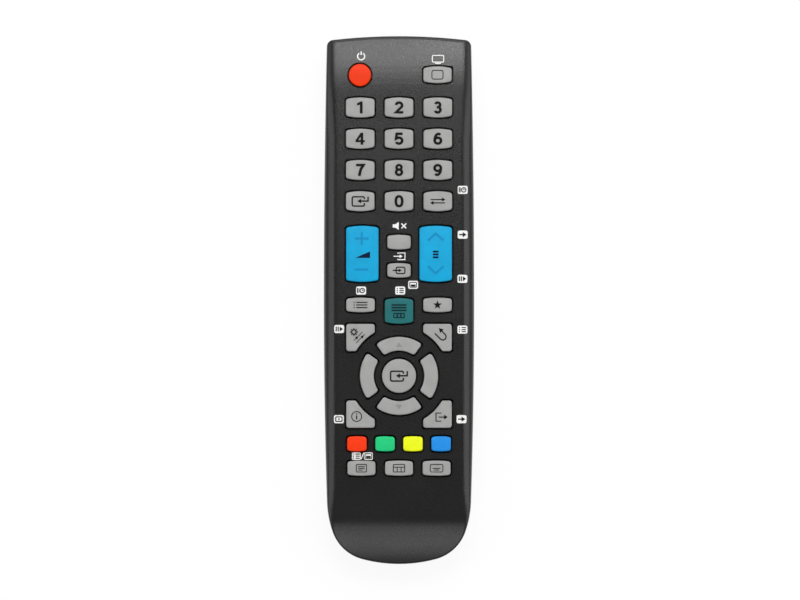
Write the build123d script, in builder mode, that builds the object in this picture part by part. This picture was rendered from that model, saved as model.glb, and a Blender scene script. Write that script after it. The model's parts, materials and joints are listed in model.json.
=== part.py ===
"""TV remote control lying on its back: a full-size handset of about 176 by 50 by 22 mm.

Millimetres. X runs across, Y along the handset towards its infrared end, Z up out of the key face.
The origin is on the surface it lies on, under the middle of the handset.
"""

from build123d import *
from math import asin, cos, degrees, pi, radians, sin, sqrt, tan
import os

os.makedirs("parts", exist_ok=True)

# Outline of the housing, seen from above
LOW_END_Y = -88.1
TOP_END_Y = 88.1
TOP_CORNER_Y = 86.6
TOP_CORNER_RADIUS = 2.3
LOW_END_RADIUS = 47.2
LOW_END_ANGLE = 15.1
LOW_CORNER_RADIUS = 14.5
LOW_CORNER_ANGLE = 55.7
SHOULDER_RADIUS = 33.9
SHOULDER_ANGLE = 17.4
LOW_SIDE_RADIUS = 2100.0
TOP_SIDE_RADIUS = 3800.0

HALF_SPAN = 30.0

# How far a cutter runs past what it cuts, and how deep one form of a piece reaches into another
CUT_MARGIN = 1.0
ROOT = 0.1

# Housing walls and the plane where its two covers meet
WALL = 1.8
FACE_WALL = 1.7
PARTING_Z = 10.5
FRONT_DRAFT = 0.3
DRAFT_TOP_Z = 21.6
LIP_HEIGHT = 1.2
LIP_OUTER_INSET = 1.0
LIP_GAP = 0.1

# Crown of the key face: a long arc, a tighter one over the infrared end, and a slope at the low end
CROWN_Z = 20.6
CROWN_Y = -15.0
CROWN_RADIUS = 3000.0
NOSE_Y = 70.0
NOSE_RADIUS = 130.0
NOSE_EDGE_RADIUS = 2.8
NOSE_EDGE_STEPS = 3
NOSE_CUT_ANGLE = 10.0
NOSE_CUT_BACK = 6.0
NOSE_CUT_OUT = 4.0
NOSE_CHORD_INSET = 2.0
FACE_HALF_WIDTH = 21.0
BAND_START_ANGLE = 16.0
BAND_RADIUS = 7.7
BAND_ANGLE = 47.0
BAND_STEPS = 3
INNER_BAND_X = 3.6
SLOPE_START_Y = -73.0
SLOPE_START_ANGLE = 9.0
SLOPE_RADIUS = 55.0
FACE_SECTION_YS = (-90.0, -86.0, -82.0, -77.5, -73.0, -44.0, 3.4, 27.1, 48.5, 70.0, 79.5, 84.0, 89.0)

# Underside of the housing
HULL_INSET = 6.0
HULL_LEVELS = 4
HULL_INNER_LEVELS = 3
HULL_CORNER_GROWTH = 3.0
RISE_START_Y = 20.0
RISE_RADIUS = 600.0
RISE_ANGLE = 7.0

# Keys
KEY_PROUD = 1.3
KEY_EDGE = 0.45
KEY_BOW = 0.6
KEY_CORNER = 0.6
BOW_STEPS = 4
ARC_STEPS = 6
ROUND_SIDES = 24
CORNER_ARC_SIDES = 40
KEY_TRAVEL = 0.95
STOP_GAP = 0.05
APERTURE_GAP = 0.38
FLANGE_REACH = 0.6
FLANGE_THICKNESS = 0.6
FLANGE_GAP = 0.25
PILL_LENGTH = 4.0
PILL_WIDTH = 3.0
COLUMN_X = 12.9
GRID_TOP_Y = 64.1
GRID_PITCH_Y = 10.4
DIGIT_SIZE = (9.5, 6.7)
WIDE_SIZE = (9.5, 4.9)
SMALL_SIZE = (7.8, 4.9)
POWER_PLACE = (-13.0, 74.9)
POWER_RADIUS = 3.75
ROCKER_SIZE = (10.8, 18.7)
ROCKER_X = 12.2
ROCKER_Y = 15.4
ROCKER_PILL_Y = 6.3
ROCKER_TRAVEL = 0.75
ROCKER_RIB_INSET = 2.0
ROCKER_RIB_THICKNESS = 1.2
ROCKER_RIB_GAP = 0.1
ROCKER_EAR_LENGTH = 3.0
RING_EAR_LENGTH = 5.0
CORNER_EAR_LENGTH = 7.6
RING_Y = -25.2
RING_OUTER = 13.0
RING_INNER = 8.4
RING_HALF_ANGLE = 36.0
OK_RADIUS = 5.66
CORNER_KEY_SIZE = (9.5, 9.1)
CORNER_KEY_X = 12.8
CORNER_KEY_DY = 12.75
CORNER_KEY_ARC = 16.5
CORNER_PILL_OFFSET = 1.5
COLOUR_Y = -47.8
COLOUR_SIZE = (6.5, 5.05)
COLOUR_XS = (-14.0, -4.65, 4.65, 14.0)
BOTTOM_ROW_Y = -55.9

# Circuit board and keypad mat
BOARD_Z = 14.3
BOARD_THICKNESS = 1.2
BOARD_HALF_WIDTH = 21.0
BOARD_LOW_Y = -70.0
BOARD_TOP_Y = 81.0
BOARD_CORNER = 3.0
MAT_THICKNESS = 0.9
MAT_HALF_WIDTH = 19.6
MAT_LOW_Y = -61.5
MAT_TOP_Y = 80.7
MAT_CLEARANCE = 0.3
BOARD_TOP_Z = BOARD_Z + BOARD_THICKNESS
MAT_TOP_Z = BOARD_TOP_Z + MAT_THICKNESS
PILL_Z = BOARD_TOP_Z + KEY_TRAVEL + STOP_GAP

# Battery bay, cells and door
CELL_RADIUS = 5.25
CELL_LENGTH = 44.5
CELL_NUB_RADIUS = 1.9
CELL_NUB_LENGTH = 1.0
CELL_X = 5.4
CELL_Z = 7.5
BAY_LOW_Y = -78.4
BAY_TOP_Y = -26.6
BAY_HALF_WIDTH = 14.2
BAY_WALL = 1.4
BAY_ROOF_Z = 13.0
BAY_ROOF_THICKNESS = 1.2
BAY_TOP_Z = BAY_ROOF_Z + BAY_ROOF_THICKNESS
CELL_RIB_YS = (-40.0, -53.0, -66.0)
CELL_RIB_THICKNESS = 1.0
CELL_RIB_GAP = 0.35
DOOR_TOP_Y = -24.2
DOOR_GAP = 0.2
DOOR_SET_BACK = 0.2
DOOR_END_Z = 3.0
DOOR_CUT_LENGTH = 80.0
RAIL_LOW_Z = 2.1
RAIL_TOP_Z = 2.9
RAIL_REACH = 0.8
RAIL_GAP = 0.15
RAIL_WEB = 1.0
RAIL_END_Y = -80.0
TONGUE_LENGTH = 1.6
TONGUE_WIDTH = 5.0
TONGUE_Z = 1.9
TONGUE_THICKNESS = 0.8
TONGUE_ROOT = 2.0
TONGUE_ROOT_Z = 1.5
TONGUE_ROOT_HEIGHT = 1.2
GRIP_Y = -36.0
GRIP_SIZE = (15.0, 0.9)
GRIP_PITCH = 1.9
GRIP_DEPTH = 0.5
GRIP_COUNT = 5

# Ribs and posts that hold the board
BOARD_RIB_X = 21.5
BOARD_RIB_WIDTH = 2.2
BOARD_RIB_LENGTH = 6.0
BOARD_RIB_YS = (-60.0, -20.0, 24.0, 64.0)
RIB_ROOT = 0.4
POST_X = 17.0
POST_YS = (8.0, 58.0)
POST_SPAN = 4.6
POST_WEB = 1.0

# Battery contacts
PLATE_THICKNESS = 0.4
PLATE_SIZE = (8.4, 8.0)
BUMP_HEIGHT = 0.4
BUMP_RADIUS = 1.6
TAB_WIDTH = 2.0
TAB_ROOT = 1.0
TAB_GAP = 0.2
TAB_Y = BAY_TOP_Y - PLATE_THICKNESS / 2
CELL_GAP = BAY_TOP_Y - BAY_LOW_Y - PLATE_THICKNESS - BUMP_HEIGHT - CELL_LENGTH
WIRE_RADIUS = 0.35
SPRING_BASE_RADIUS = 3.4
SPRING_TIP_RADIUS = 2.3
SPRING_TURNS = 3
SPRING_STEPS = 10
SPRING_SEAT = PLATE_THICKNESS + 0.8 * WIRE_RADIUS
SPRING_TIP_GAP = 0.05
WIRE_SIDES = 6

# Case screw and its boss, between the cells and between the lower keys
SCREW_Y = -42.6
SCREW_RADIUS = 1.1
SCREW_HEAD_RADIUS = 1.9
SCREW_HEAD_HEIGHT = 1.1
SCREW_TIP_Z = 18.0
SCREW_TIP_GAP = 0.3
CROSS_LENGTH = 2.2
CROSS_WIDTH = 0.5
CROSS_DEPTH = 0.7
BOSS_RADIUS = 2.3

# Parts at the infrared end and under the board
WINDOW_HALF_WIDTH = 13.0
WINDOW_LOW_Z = 6.5
WINDOW_TOP_Z = 13.6
WINDOW_THICKNESS = 2.75
WINDOW_FLANGE = 0.8
WINDOW_DEPTH = 20.0
LED_RADIUS = 2.5
LED_Z = 10.2
LED_TIP_Y = 84.2
LED_LENGTH = 8.6
LEAD_WIDTH = 0.5
LEAD_PITCH = 2.54
LEAD_RUN = 2.0
LED_RIM_RADIUS = 2.9
LED_RIM_LENGTH = 1.0
LED_TIP_RADIUS = 1.0
CHIP_PLACE = (0, 36.0)
CHIP_SIZE = (12.8, 7.5)
CHIP_HEIGHT = 2.4
CHIP_STANDOFF = 0.1
CHIP_LEGS = 10
CHIP_LEG_PITCH = 1.27
CHIP_LEG_WIDTH = 0.42
CHIP_LEG_REACH = 1.4
RESONATOR_PLACE = (10.0, 48.0)
RESONATOR_SIZE = (7.4, 3.4, 8.5)
RESONATOR_LEG = 1.5
CAPACITOR_PLACE = (-11.0, 14.0)
CAPACITOR_RADIUS = 2.5
CAPACITOR_HEIGHT = 11.0
CAPACITOR_LEG = 1.0
TRANSISTOR_PLACE = (9.0, 68.0)
TRANSISTOR_RADIUS = 2.3
TRANSISTOR_HEIGHT = 6.6
TRANSISTOR_LEG = 2.0
PASSIVE_SIZE = (2.0, 1.25, 0.6)
PASSIVE_PLACES = (
    (-9.0, 28.0),
    (-9.0, 31.0),
    (9.5, 30.0),
    (9.5, 33.0),
    (-6.0, 46.0),
    (-2.0, 46.0),
    (4.0, 62.0),
    (-4.0, 68.0),
)


def save(piece, name):
    """Name a finished piece and write it to its own file."""
    piece.part.label = name
    export_step(piece.part, f"parts/{name}.step")


def housing_outline(inset=0.0, corner=TOP_CORNER_RADIUS):
    """Plan outline of the handset, drawn in from its edge by inset."""
    low_side_angle = 90 - LOW_END_ANGLE - LOW_CORNER_ANGLE - SHOULDER_ANGLE
    with BuildSketch() as outline:
        with BuildLine():
            low_end = JernArc((0, LOW_END_Y + inset), (1, 0), LOW_END_RADIUS - inset, LOW_END_ANGLE)
            low_corner = JernArc(low_end @ 1, low_end % 1, LOW_CORNER_RADIUS - inset, LOW_CORNER_ANGLE)
            shoulder = JernArc(low_corner @ 1, low_corner % 1, SHOULDER_RADIUS - inset, SHOULDER_ANGLE)
            low_side = JernArc(shoulder @ 1, shoulder % 1, LOW_SIDE_RADIUS - inset, low_side_angle)
            side_length = TOP_CORNER_Y - inset - (low_side @ 1).Y
            side_angle = degrees(asin(side_length / (TOP_SIDE_RADIUS - inset)))
            top_side = JernArc(low_side @ 1, low_side % 1, TOP_SIDE_RADIUS - inset, side_angle)
            mirror(about=Plane.YZ)
            right = top_side @ 1
            ThreePointArc((-right.X, right.Y), (0, TOP_END_Y - inset), (right.X, right.Y))
        make_face()
        fillet(outline.vertices().group_by(Axis.Y)[-1], corner)
    return outline.sketch


def crown_z(y):
    """Height of the long crown of the key face."""
    return CROWN_Z - CROWN_RADIUS + sqrt(CROWN_RADIUS**2 - (y - CROWN_Y) ** 2)


def face_z(y):
    """Height of the key face: the crown, the slope at the low end, and the nose over the infrared end."""
    past_nose = max(y - NOSE_Y, 0)
    past_crease = max(SLOPE_START_Y - y, 0)
    nose_lean = asin((NOSE_Y - CROWN_Y) / CROWN_RADIUS)
    slope_lean = radians(SLOPE_START_ANGLE)
    steep = asin(sin(slope_lean) + past_crease / SLOPE_RADIUS)
    start = crown_z(min(max(y, SLOPE_START_Y), NOSE_Y))
    nose_drop = past_nose * tan(nose_lean) + NOSE_RADIUS - sqrt(NOSE_RADIUS**2 - past_nose**2)
    return start - nose_drop - SLOPE_RADIUS * (cos(slope_lean) - cos(steep))


def band_points(inner):
    """Points from the flat of the key face out over one side band; the inner face has a plain slant."""
    if inner:
        return [(FACE_HALF_WIDTH, 0), (FACE_HALF_WIDTH + INNER_BAND_X, -INNER_BAND_X)]
    start = radians(BAND_START_ANGLE)
    points = []
    for step in range(BAND_STEPS + 1):
        lean = start + radians(BAND_ANGLE) * step / BAND_STEPS
        out = BAND_RADIUS * (sin(lean) - sin(start))
        points.append((FACE_HALF_WIDTH + out, BAND_RADIUS * (cos(lean) - cos(start))))
    return points


def face_block(drop=0.0):
    """Solid under the key face, lowered by drop: cross-sections joined along the handset."""
    band = band_points(drop > 0)
    with BuildPart() as block:
        for y in FACE_SECTION_YS:
            z = face_z(y) - drop
            right = [(x, z + dz) for x, dz in band] + [(band[-1][0], 0)]
            left = [(-x, level) for x, level in reversed(right)]
            with BuildSketch(Plane.XZ.offset(-y)):
                with BuildLine():
                    Polyline(*right, *left, close=True)
                make_face()
        loft(ruled=True)
    return block.part


def nose_cutter():
    """Ring of what the rounded upper edge of the infrared end leaves off."""
    edge_y = TOP_END_Y - FRONT_DRAFT / 2
    lean = asin((edge_y - NOSE_Y) / NOSE_RADIUS)
    top_y = edge_y - NOSE_EDGE_RADIUS * (1 - sin(lean))
    low_z = face_z(top_y) - NOSE_EDGE_RADIUS * cos(lean)
    half_chord = housing_outline().bounding_box().size.X / 2 - NOSE_CHORD_INSET
    end_radius = (half_chord**2 + (TOP_END_Y - TOP_CORNER_Y) ** 2) / 2 / (TOP_END_Y - TOP_CORNER_Y)
    edge = []
    for step in range(NOSE_EDGE_STEPS + 1):
        turn = (pi / 2 - lean) * step / NOSE_EDGE_STEPS
        edge.append((edge_y - NOSE_EDGE_RADIUS * (1 - cos(turn)), low_z + NOSE_EDGE_RADIUS * sin(turn)))
    back_y = top_y - NOSE_CUT_BACK
    out_y = edge_y + NOSE_CUT_OUT
    with BuildPart() as cutter:
        with BuildSketch(Plane.YZ):
            with BuildLine():
                above = [(back_y, face_z(back_y) + CUT_MARGIN), (out_y, CROWN_Z), (out_y, low_z)]
                Polyline(*edge, *above, close=True)
            make_face()
        turn_axis = Axis((0, TOP_END_Y - end_radius, 0), (0, 0, 1))
        revolve(axis=turn_axis, revolution_arc=NOSE_CUT_ANGLE)
        mirror(about=Plane.YZ)
    return cutter.part


def front_block(inset=0.0, drop=0.0):
    """Closed form of the front half of the handset."""
    with BuildPart() as block:
        with BuildSketch(Plane.XY.offset(PARTING_Z)):
            add(housing_outline(inset))
        with BuildSketch(Plane.XY.offset(DRAFT_TOP_Z)):
            add(housing_outline(inset + FRONT_DRAFT))
        loft()
        add(face_block(drop), mode=Mode.INTERSECT)
    return block.part


def rear_block(inset=0.0, levels=HULL_LEVELS):
    """Closed form of the rear half: a rounded hull that rises towards the infrared end."""
    with BuildPart() as block:
        for level in range(levels + 1):
            angle = pi / 2 * level / levels
            level_z = inset + (PARTING_Z - inset) * (1 - cos(angle))
            level_inset = HULL_INSET * (1 - sin(angle))
            corner = TOP_CORNER_RADIUS + HULL_CORNER_GROWTH * (1 - sin(angle))
            with BuildSketch(Plane.XY.offset(level_z)):
                add(housing_outline(inset + level_inset, corner))
        loft(ruled=True)
        with BuildSketch(Plane.YZ):
            with BuildLine():
                flat = Line((LOW_END_Y - CUT_MARGIN, inset), (RISE_START_Y, inset))
                rise = JernArc(flat @ 1, (1, 0), RISE_RADIUS, RISE_ANGLE)
                Polyline(rise @ 1, ((rise @ 1).X, PARTING_Z), (LOW_END_Y - CUT_MARGIN, PARTING_Z), flat @ 0)
            make_face()
        extrude(amount=HALF_SPAN, both=True, mode=Mode.INTERSECT)
    return block.part


def pad_outline(size, grow=0.0):
    """Key with bowed long edges and cut corners, about its own centre."""
    half_width = size[0] / 2 + grow
    half_height = size[1] / 2 + grow
    corner_y = half_height - KEY_BOW - KEY_CORNER
    top = []
    for step in range(BOW_STEPS + 1):
        x = (half_width - KEY_CORNER) * (2 * step / BOW_STEPS - 1)
        top.append((x, half_height - KEY_BOW * (x / half_width) ** 2))
    right = [(half_width, corner_y), (half_width, -corner_y)]
    with BuildSketch() as outline:
        with BuildLine():
            Polyline(*top, *right, *[(-x, -y) for x, y in top + right], close=True)
        make_face()
    return outline.sketch


def arc_points(radius, half_angle):
    """Points along an arc about the +Y direction, from left to right."""
    turns = [half_angle * (2 * step / ARC_STEPS - 1) for step in range(ARC_STEPS + 1)]
    return [(radius * sin(turn), radius * cos(turn)) for turn in turns]


def ring_outline(grow=0.0):
    """One arc key of the ring, on the +Y side, about the ring's centre."""
    lean = radians(RING_HALF_ANGLE)
    outer_radius = RING_OUTER + grow
    inner_radius = RING_INNER - grow
    outer = arc_points(outer_radius, lean + (grow - KEY_CORNER) / outer_radius)
    inner = arc_points(inner_radius, lean + (grow - KEY_CORNER) / inner_radius)
    away = grow / sin(lean)
    outer_reach = away * cos(lean) + sqrt(outer_radius**2 - grow**2) - KEY_CORNER
    inner_reach = away * cos(lean) + sqrt(inner_radius**2 - grow**2) + KEY_CORNER
    right = [(reach * sin(lean), reach * cos(lean) - away) for reach in (outer_reach, inner_reach)]
    left = [(-x, y) for x, y in reversed(right)]
    with BuildSketch() as outline:
        with BuildLine():
            Polyline(*outer, *right, *reversed(inner), *left, close=True)
        make_face()
    return outline.sketch


def corner_outline(grow=0.0):
    """Corner key up and to the right of the ring, about the ring's centre."""
    half_width = CORNER_KEY_SIZE[0] / 2 + grow
    half_height = CORNER_KEY_SIZE[1] / 2 + grow
    with BuildSketch() as outline:
        with Locations((CORNER_KEY_X, CORNER_KEY_DY)):
            Rectangle(2 * half_width, 2 * half_height)
        RegularPolygon(CORNER_KEY_ARC - grow, CORNER_ARC_SIDES, mode=Mode.SUBTRACT)
        box = outline.sketch.bounding_box()
        edge_points = []
        for point in outline.vertices():
            x_away = min(point.X - box.min.X, box.max.X - point.X)
            y_away = min(point.Y - box.min.Y, box.max.Y - point.Y)
            if min(x_away, y_away) < KEY_CORNER / 10:
                edge_points.append(point)
        chamfer(edge_points, KEY_CORNER)
    return outline.sketch


def round_outline(radius, grow=0.0):
    """Round key about its own centre, drawn with many sides."""
    with BuildSketch() as outline:
        RegularPolygon(radius + grow, ROUND_SIDES)
    return outline.sketch


class Key:
    """One key: its name, its place, its outline, and where its carbon pill stands."""

    def __init__(self, name, place, outline, pill=(0, 0), turn=0, mirrored=False):
        self.name = name
        self.place = place
        self.outline = outline
        self.pill = (place[0] + pill[0], place[1] + pill[1])
        self.turn = turn
        self.mirrored = mirrored

    def shape(self, grow=0.0):
        """Outline of the key in its place, grown by a gap."""
        drawn = self.outline(grow)
        if self.mirrored:
            drawn = mirror(drawn, about=Plane.YZ, mode=Mode.PRIVATE)
        return Location((*self.place, 0), (0, 0, self.turn)) * drawn

    def top_z(self):
        """Height of the key's flat top at rest."""
        return face_z(self.pill[1]) + KEY_PROUD

    def flange_top_z(self):
        """Height of the upper side of the flange, under the lowest part of the cover above it."""
        box = self.shape(FLANGE_REACH).bounding_box()
        return min(face_z(box.min.Y), face_z(box.max.Y)) - FACE_WALL - FLANGE_GAP

    def flange_base_z(self):
        """Height of the lower side of the flange, which stays off the board when the key is down."""
        return max(self.flange_top_z() - FLANGE_THICKNESS, PILL_Z)


def pad(name, place, size):
    """Key with the common bowed outline."""
    return Key(name, place, lambda grow: pad_outline(size, grow))


def digit_keys():
    """The number grid with the keys on both sides of the zero."""
    rows = (("1", "2", "3"), ("4", "5", "6"), ("7", "8", "9"), ("enter", "0", "previous"))
    grid = []
    for row, names in enumerate(rows):
        y = GRID_TOP_Y - row * GRID_PITCH_Y
        for x, name in zip((-COLUMN_X, 0, COLUMN_X), names):
            grid.append(pad(f"key_{name}", (x, y), DIGIT_SIZE))
    return grid


def ring_keys():
    """The four arc keys with the OK key inside them."""
    middle = (RING_INNER + RING_OUTER) / 2
    arcs = []
    for name, turn in (("up", 0), ("left", 90), ("down", 180), ("right", 270)):
        pill = (-middle * sin(radians(turn)), middle * cos(radians(turn)))
        arcs.append(Key(f"key_{name}", (0, RING_Y), ring_outline, pill, turn))
    arcs.append(Key("key_ok", (0, RING_Y), lambda grow: round_outline(OK_RADIUS, grow)))
    return arcs


def corner_keys():
    """The four corner keys round the ring."""
    corners = []
    for name, side_x, side_y in (("tools", -1, 1), ("return", 1, 1), ("info", -1, -1), ("exit", 1, -1)):
        pill = (side_x * (CORNER_KEY_X + CORNER_PILL_OFFSET), side_y * (CORNER_KEY_DY + CORNER_PILL_OFFSET))
        turn = 0 if side_y > 0 else 180
        corners.append(Key(f"key_{name}", (0, RING_Y), corner_outline, pill, turn, side_x * side_y < 0))
    return corners


def slide_keys():
    """Every key that is pressed straight down."""
    keys = [
        Key("key_power", POWER_PLACE, lambda grow: round_outline(POWER_RADIUS, grow)),
        pad("key_tv", (12.8, 75.0), (9.4, 5.6)),
    ]
    keys += digit_keys()
    keys += [
        pad("key_mute", (0, 19.3), SMALL_SIZE),
        pad("key_source", (0, 9.9), SMALL_SIZE),
        pad("key_channel_list", (-12.8, -1.6), WIDE_SIZE),
        pad("key_menu", (0, -3.6), (9.5, 8.6)),
        pad("key_favourites", (12.8, -1.6), WIDE_SIZE),
    ]
    keys += corner_keys()
    keys += ring_keys()
    for x, name in zip(COLOUR_XS, ("red", "green", "yellow", "blue")):
        keys.append(pad(f"key_{name}", (x, COLOUR_Y), COLOUR_SIZE))
    for x, name in zip((-12.5, 0, 12.5), ("teletext", "guide", "subtitle")):
        keys.append(pad(f"key_{name}", (x, BOTTOM_ROW_Y), (9.3, 5.05)))
    return keys


def rocker_keys():
    """The two blue keys that tip both ways."""
    return [
        pad("rocker_volume", (-ROCKER_X, ROCKER_Y), ROCKER_SIZE),
        pad("rocker_programme", (ROCKER_X, ROCKER_Y), ROCKER_SIZE),
    ]


def flange_shape(key, grow=0.0):
    """Plan of the flange under a key: a box round the key, or a bar across an arc or corner key."""
    if key.outline is ring_outline:
        size = (RING_EAR_LENGTH, RING_OUTER - RING_INNER + 2 * FLANGE_REACH)
        centre = key.pill
    elif key.outline is corner_outline:
        size = (CORNER_EAR_LENGTH, CORNER_EAR_LENGTH)
        centre = key.pill
    else:
        box = key.shape(FLANGE_REACH).bounding_box()
        size = (box.size.X, box.size.Y)
        centre = key.place
    with BuildSketch() as flange:
        with Locations(Location((*centre, 0), (0, 0, key.turn))):
            Rectangle(size[0] + 2 * grow, size[1] + 2 * grow)
    return flange.sketch


def make_slide_key(key):
    """A key with its edged cap, its flange and the carbon pill under it."""
    flange_z = key.flange_top_z()
    with BuildPart() as piece:
        with BuildSketch(Plane.XY.offset(flange_z)):
            add(key.shape())
        extrude(amount=key.top_z() - flange_z)
        chamfer(piece.faces().sort_by(Axis.Z)[-1].edges(), KEY_EDGE)
        with BuildSketch(Plane.XY.offset(key.flange_base_z())):
            add(flange_shape(key))
        extrude(amount=flange_z - key.flange_base_z())
        with BuildSketch(Plane.XY.offset(PILL_Z)):
            with Locations(key.pill):
                Rectangle(PILL_LENGTH, PILL_WIDTH)
        extrude(amount=flange_z - PILL_Z)
    save(piece, key.name)


def make_rocker_key(key):
    """A key that tips on the rib under its middle, with ears there and a pill near each end."""
    base_z = key.flange_base_z()
    pill_z = BOARD_TOP_Z + ROCKER_TRAVEL + STOP_GAP
    rib_z = BOARD_TOP_Z + ROCKER_RIB_GAP
    x, y = key.place
    with BuildPart() as piece:
        with BuildSketch(Plane.XY.offset(base_z)):
            add(key.shape())
        extrude(amount=key.top_z() - base_z)
        chamfer(piece.faces().sort_by(Axis.Z)[-1].edges(), KEY_EDGE)
        with BuildSketch(Plane.XY.offset(base_z)):
            with Locations((x, y)):
                Rectangle(ROCKER_SIZE[0] + 2 * FLANGE_REACH, ROCKER_EAR_LENGTH)
        extrude(amount=FLANGE_THICKNESS)
        with BuildSketch(Plane.XY.offset(pill_z)):
            with Locations((x, y - ROCKER_PILL_Y), (x, y + ROCKER_PILL_Y)):
                Rectangle(PILL_LENGTH, PILL_WIDTH)
        extrude(amount=base_z - pill_z)
        with BuildSketch(Plane.XY.offset(rib_z)):
            with Locations((x, y)):
                Rectangle(ROCKER_SIZE[0] - 2 * ROCKER_RIB_INSET, ROCKER_RIB_THICKNESS)
        extrude(amount=base_z - rib_z)
    save(piece, key.name)


def make_front_cover():
    """Front shell: crowned face with its key openings, a rebate for the rear cover's lip, ribs and a boss."""
    with BuildPart() as cover:
        add(front_block())
        add(nose_cutter(), mode=Mode.SUBTRACT)
        add(front_block(WALL, FACE_WALL), mode=Mode.SUBTRACT)
        with BuildSketch(Plane.XY.offset(PARTING_Z)):
            add(housing_outline(WALL))
            add(housing_outline(LIP_OUTER_INSET - LIP_GAP))
        extrude(amount=LIP_HEIGHT + LIP_GAP, mode=Mode.SUBTRACT)
        for y in BOARD_RIB_YS:
            with BuildSketch(Plane.XY.offset(BOARD_TOP_Z)):
                with Locations((-BOARD_RIB_X, y), (BOARD_RIB_X, y)):
                    Rectangle(BOARD_RIB_WIDTH, BOARD_RIB_LENGTH)
            extrude(amount=crown_z(y) - FACE_WALL + RIB_ROOT - BOARD_TOP_Z)
        with BuildSketch(Plane.XY.offset(BAY_TOP_Z)):
            with Locations((0, SCREW_Y)):
                Circle(BOSS_RADIUS)
        extrude(amount=crown_z(SCREW_Y) - FACE_WALL / 2 - BAY_TOP_Z)
        with BuildSketch(Plane.XY.offset(BAY_TOP_Z)):
            with Locations((0, SCREW_Y)):
                Circle(SCREW_RADIUS)
        extrude(amount=SCREW_TIP_Z + SCREW_TIP_GAP - BAY_TOP_Z, mode=Mode.SUBTRACT)
        with BuildSketch(Plane.XY.offset(MAT_TOP_Z)):
            for key in slides + rockers:
                add(key.shape(APERTURE_GAP))
        extrude(amount=CROWN_Z, mode=Mode.SUBTRACT)
        add(window_opening(), mode=Mode.SUBTRACT)
    save(cover, "front_cover")


def window_opening():
    """Space that the infrared window fills in the end walls of both covers."""
    with BuildPart() as opening:
        with BuildSketch(Plane.XY.offset(WINDOW_LOW_Z)):
            with Locations((0, TOP_END_Y)):
                Rectangle(2 * WINDOW_HALF_WIDTH, 4 * WALL)
        extrude(amount=WINDOW_TOP_Z - WINDOW_LOW_Z)
    return opening.part


def door_opening(gap=0.0):
    """Space of the battery door and its two rails in the rear cover, drawn in by gap."""
    with BuildPart() as opening:
        with BuildSketch(Plane.XY.offset(-CUT_MARGIN)):
            with Locations((0, DOOR_TOP_Y - gap)):
                Rectangle(2 * (BAY_HALF_WIDTH - gap), DOOR_CUT_LENGTH, align=(Align.CENTER, Align.MAX))
        extrude(amount=DOOR_END_Z - gap + CUT_MARGIN)
        rail_span = 2 * (BAY_HALF_WIDTH + RAIL_REACH - gap)
        with BuildSketch(Plane.XY.offset(RAIL_LOW_Z - RAIL_GAP + gap)):
            with Locations((0, DOOR_TOP_Y - gap)):
                Rectangle(rail_span, DOOR_CUT_LENGTH, align=(Align.CENTER, Align.MAX))
        extrude(amount=RAIL_TOP_Z - RAIL_LOW_Z + 2 * (RAIL_GAP - gap))
    return opening.part


def make_rear_cover():
    """Rear shell with the battery bay, the lip that enters the front cover, and the board's posts."""
    with BuildPart() as cover:
        add(rear_block())
        add(rear_block(WALL, HULL_INNER_LEVELS), mode=Mode.SUBTRACT)
        with BuildSketch(Plane.XY.offset(PARTING_Z)):
            add(housing_outline(LIP_OUTER_INSET))
            add(housing_outline(WALL), mode=Mode.SUBTRACT)
        extrude(amount=LIP_HEIGHT)
        with BuildSketch(Plane.XY.offset(WALL / 2)):
            with Locations((0, (BAY_LOW_Y + BAY_TOP_Y) / 2)):
                Rectangle(2 * (BAY_HALF_WIDTH + BAY_WALL), BAY_TOP_Y - BAY_LOW_Y + 2 * BAY_WALL)
        extrude(amount=BAY_TOP_Z - WALL / 2)
        with BuildSketch(Plane.XY.offset(WALL / 2)):
            with Locations((0, (BAY_LOW_Y + BAY_TOP_Y) / 2)):
                Rectangle(2 * BAY_HALF_WIDTH, BAY_TOP_Y - BAY_LOW_Y)
        extrude(amount=BAY_ROOF_Z - WALL / 2, mode=Mode.SUBTRACT)
        rib_width = BAY_HALF_WIDTH - CELL_X - CELL_RADIUS - CELL_RIB_GAP
        rib_x = BAY_HALF_WIDTH - rib_width / 2
        with BuildSketch(Plane.XY.offset(CELL_Z - CELL_RADIUS / 2)):
            with Locations(*[(side * rib_x, y) for side in (-1, 1) for y in CELL_RIB_YS]):
                Rectangle(rib_width, CELL_RIB_THICKNESS)
        extrude(amount=BAY_ROOF_Z - CELL_Z + CELL_RADIUS / 2)
        for side, y in [(side, y) for side in (-1, 1) for y in POST_YS]:
            with BuildSketch(Plane.XY.offset(floor_z(y) - WALL / 2)):
                with Locations((side * POST_X, y)):
                    Rectangle(POST_SPAN, POST_WEB)
                    Rectangle(POST_WEB, POST_SPAN)
            extrude(amount=BOARD_Z - floor_z(y) + WALL / 2)
        with BuildSketch(Plane.XY.offset(BAY_ROOF_Z)):
            with Locations((0, SCREW_Y)):
                Circle(SCREW_RADIUS)
            with Locations((-CELL_X, TAB_Y), (CELL_X, TAB_Y)):
                Rectangle(TAB_WIDTH + 2 * TAB_GAP, 2 * PLATE_THICKNESS)
        extrude(amount=BAY_ROOF_THICKNESS, mode=Mode.SUBTRACT)
        add(door_opening(), mode=Mode.SUBTRACT)
        add(window_opening(), mode=Mode.SUBTRACT)
    save(cover, "rear_cover")


def floor_z(y):
    """Height of the rear cover's inner floor."""
    rise = max(y - RISE_START_Y, 0)
    return WALL + RISE_RADIUS - sqrt(RISE_RADIUS**2 - rise**2)


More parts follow.
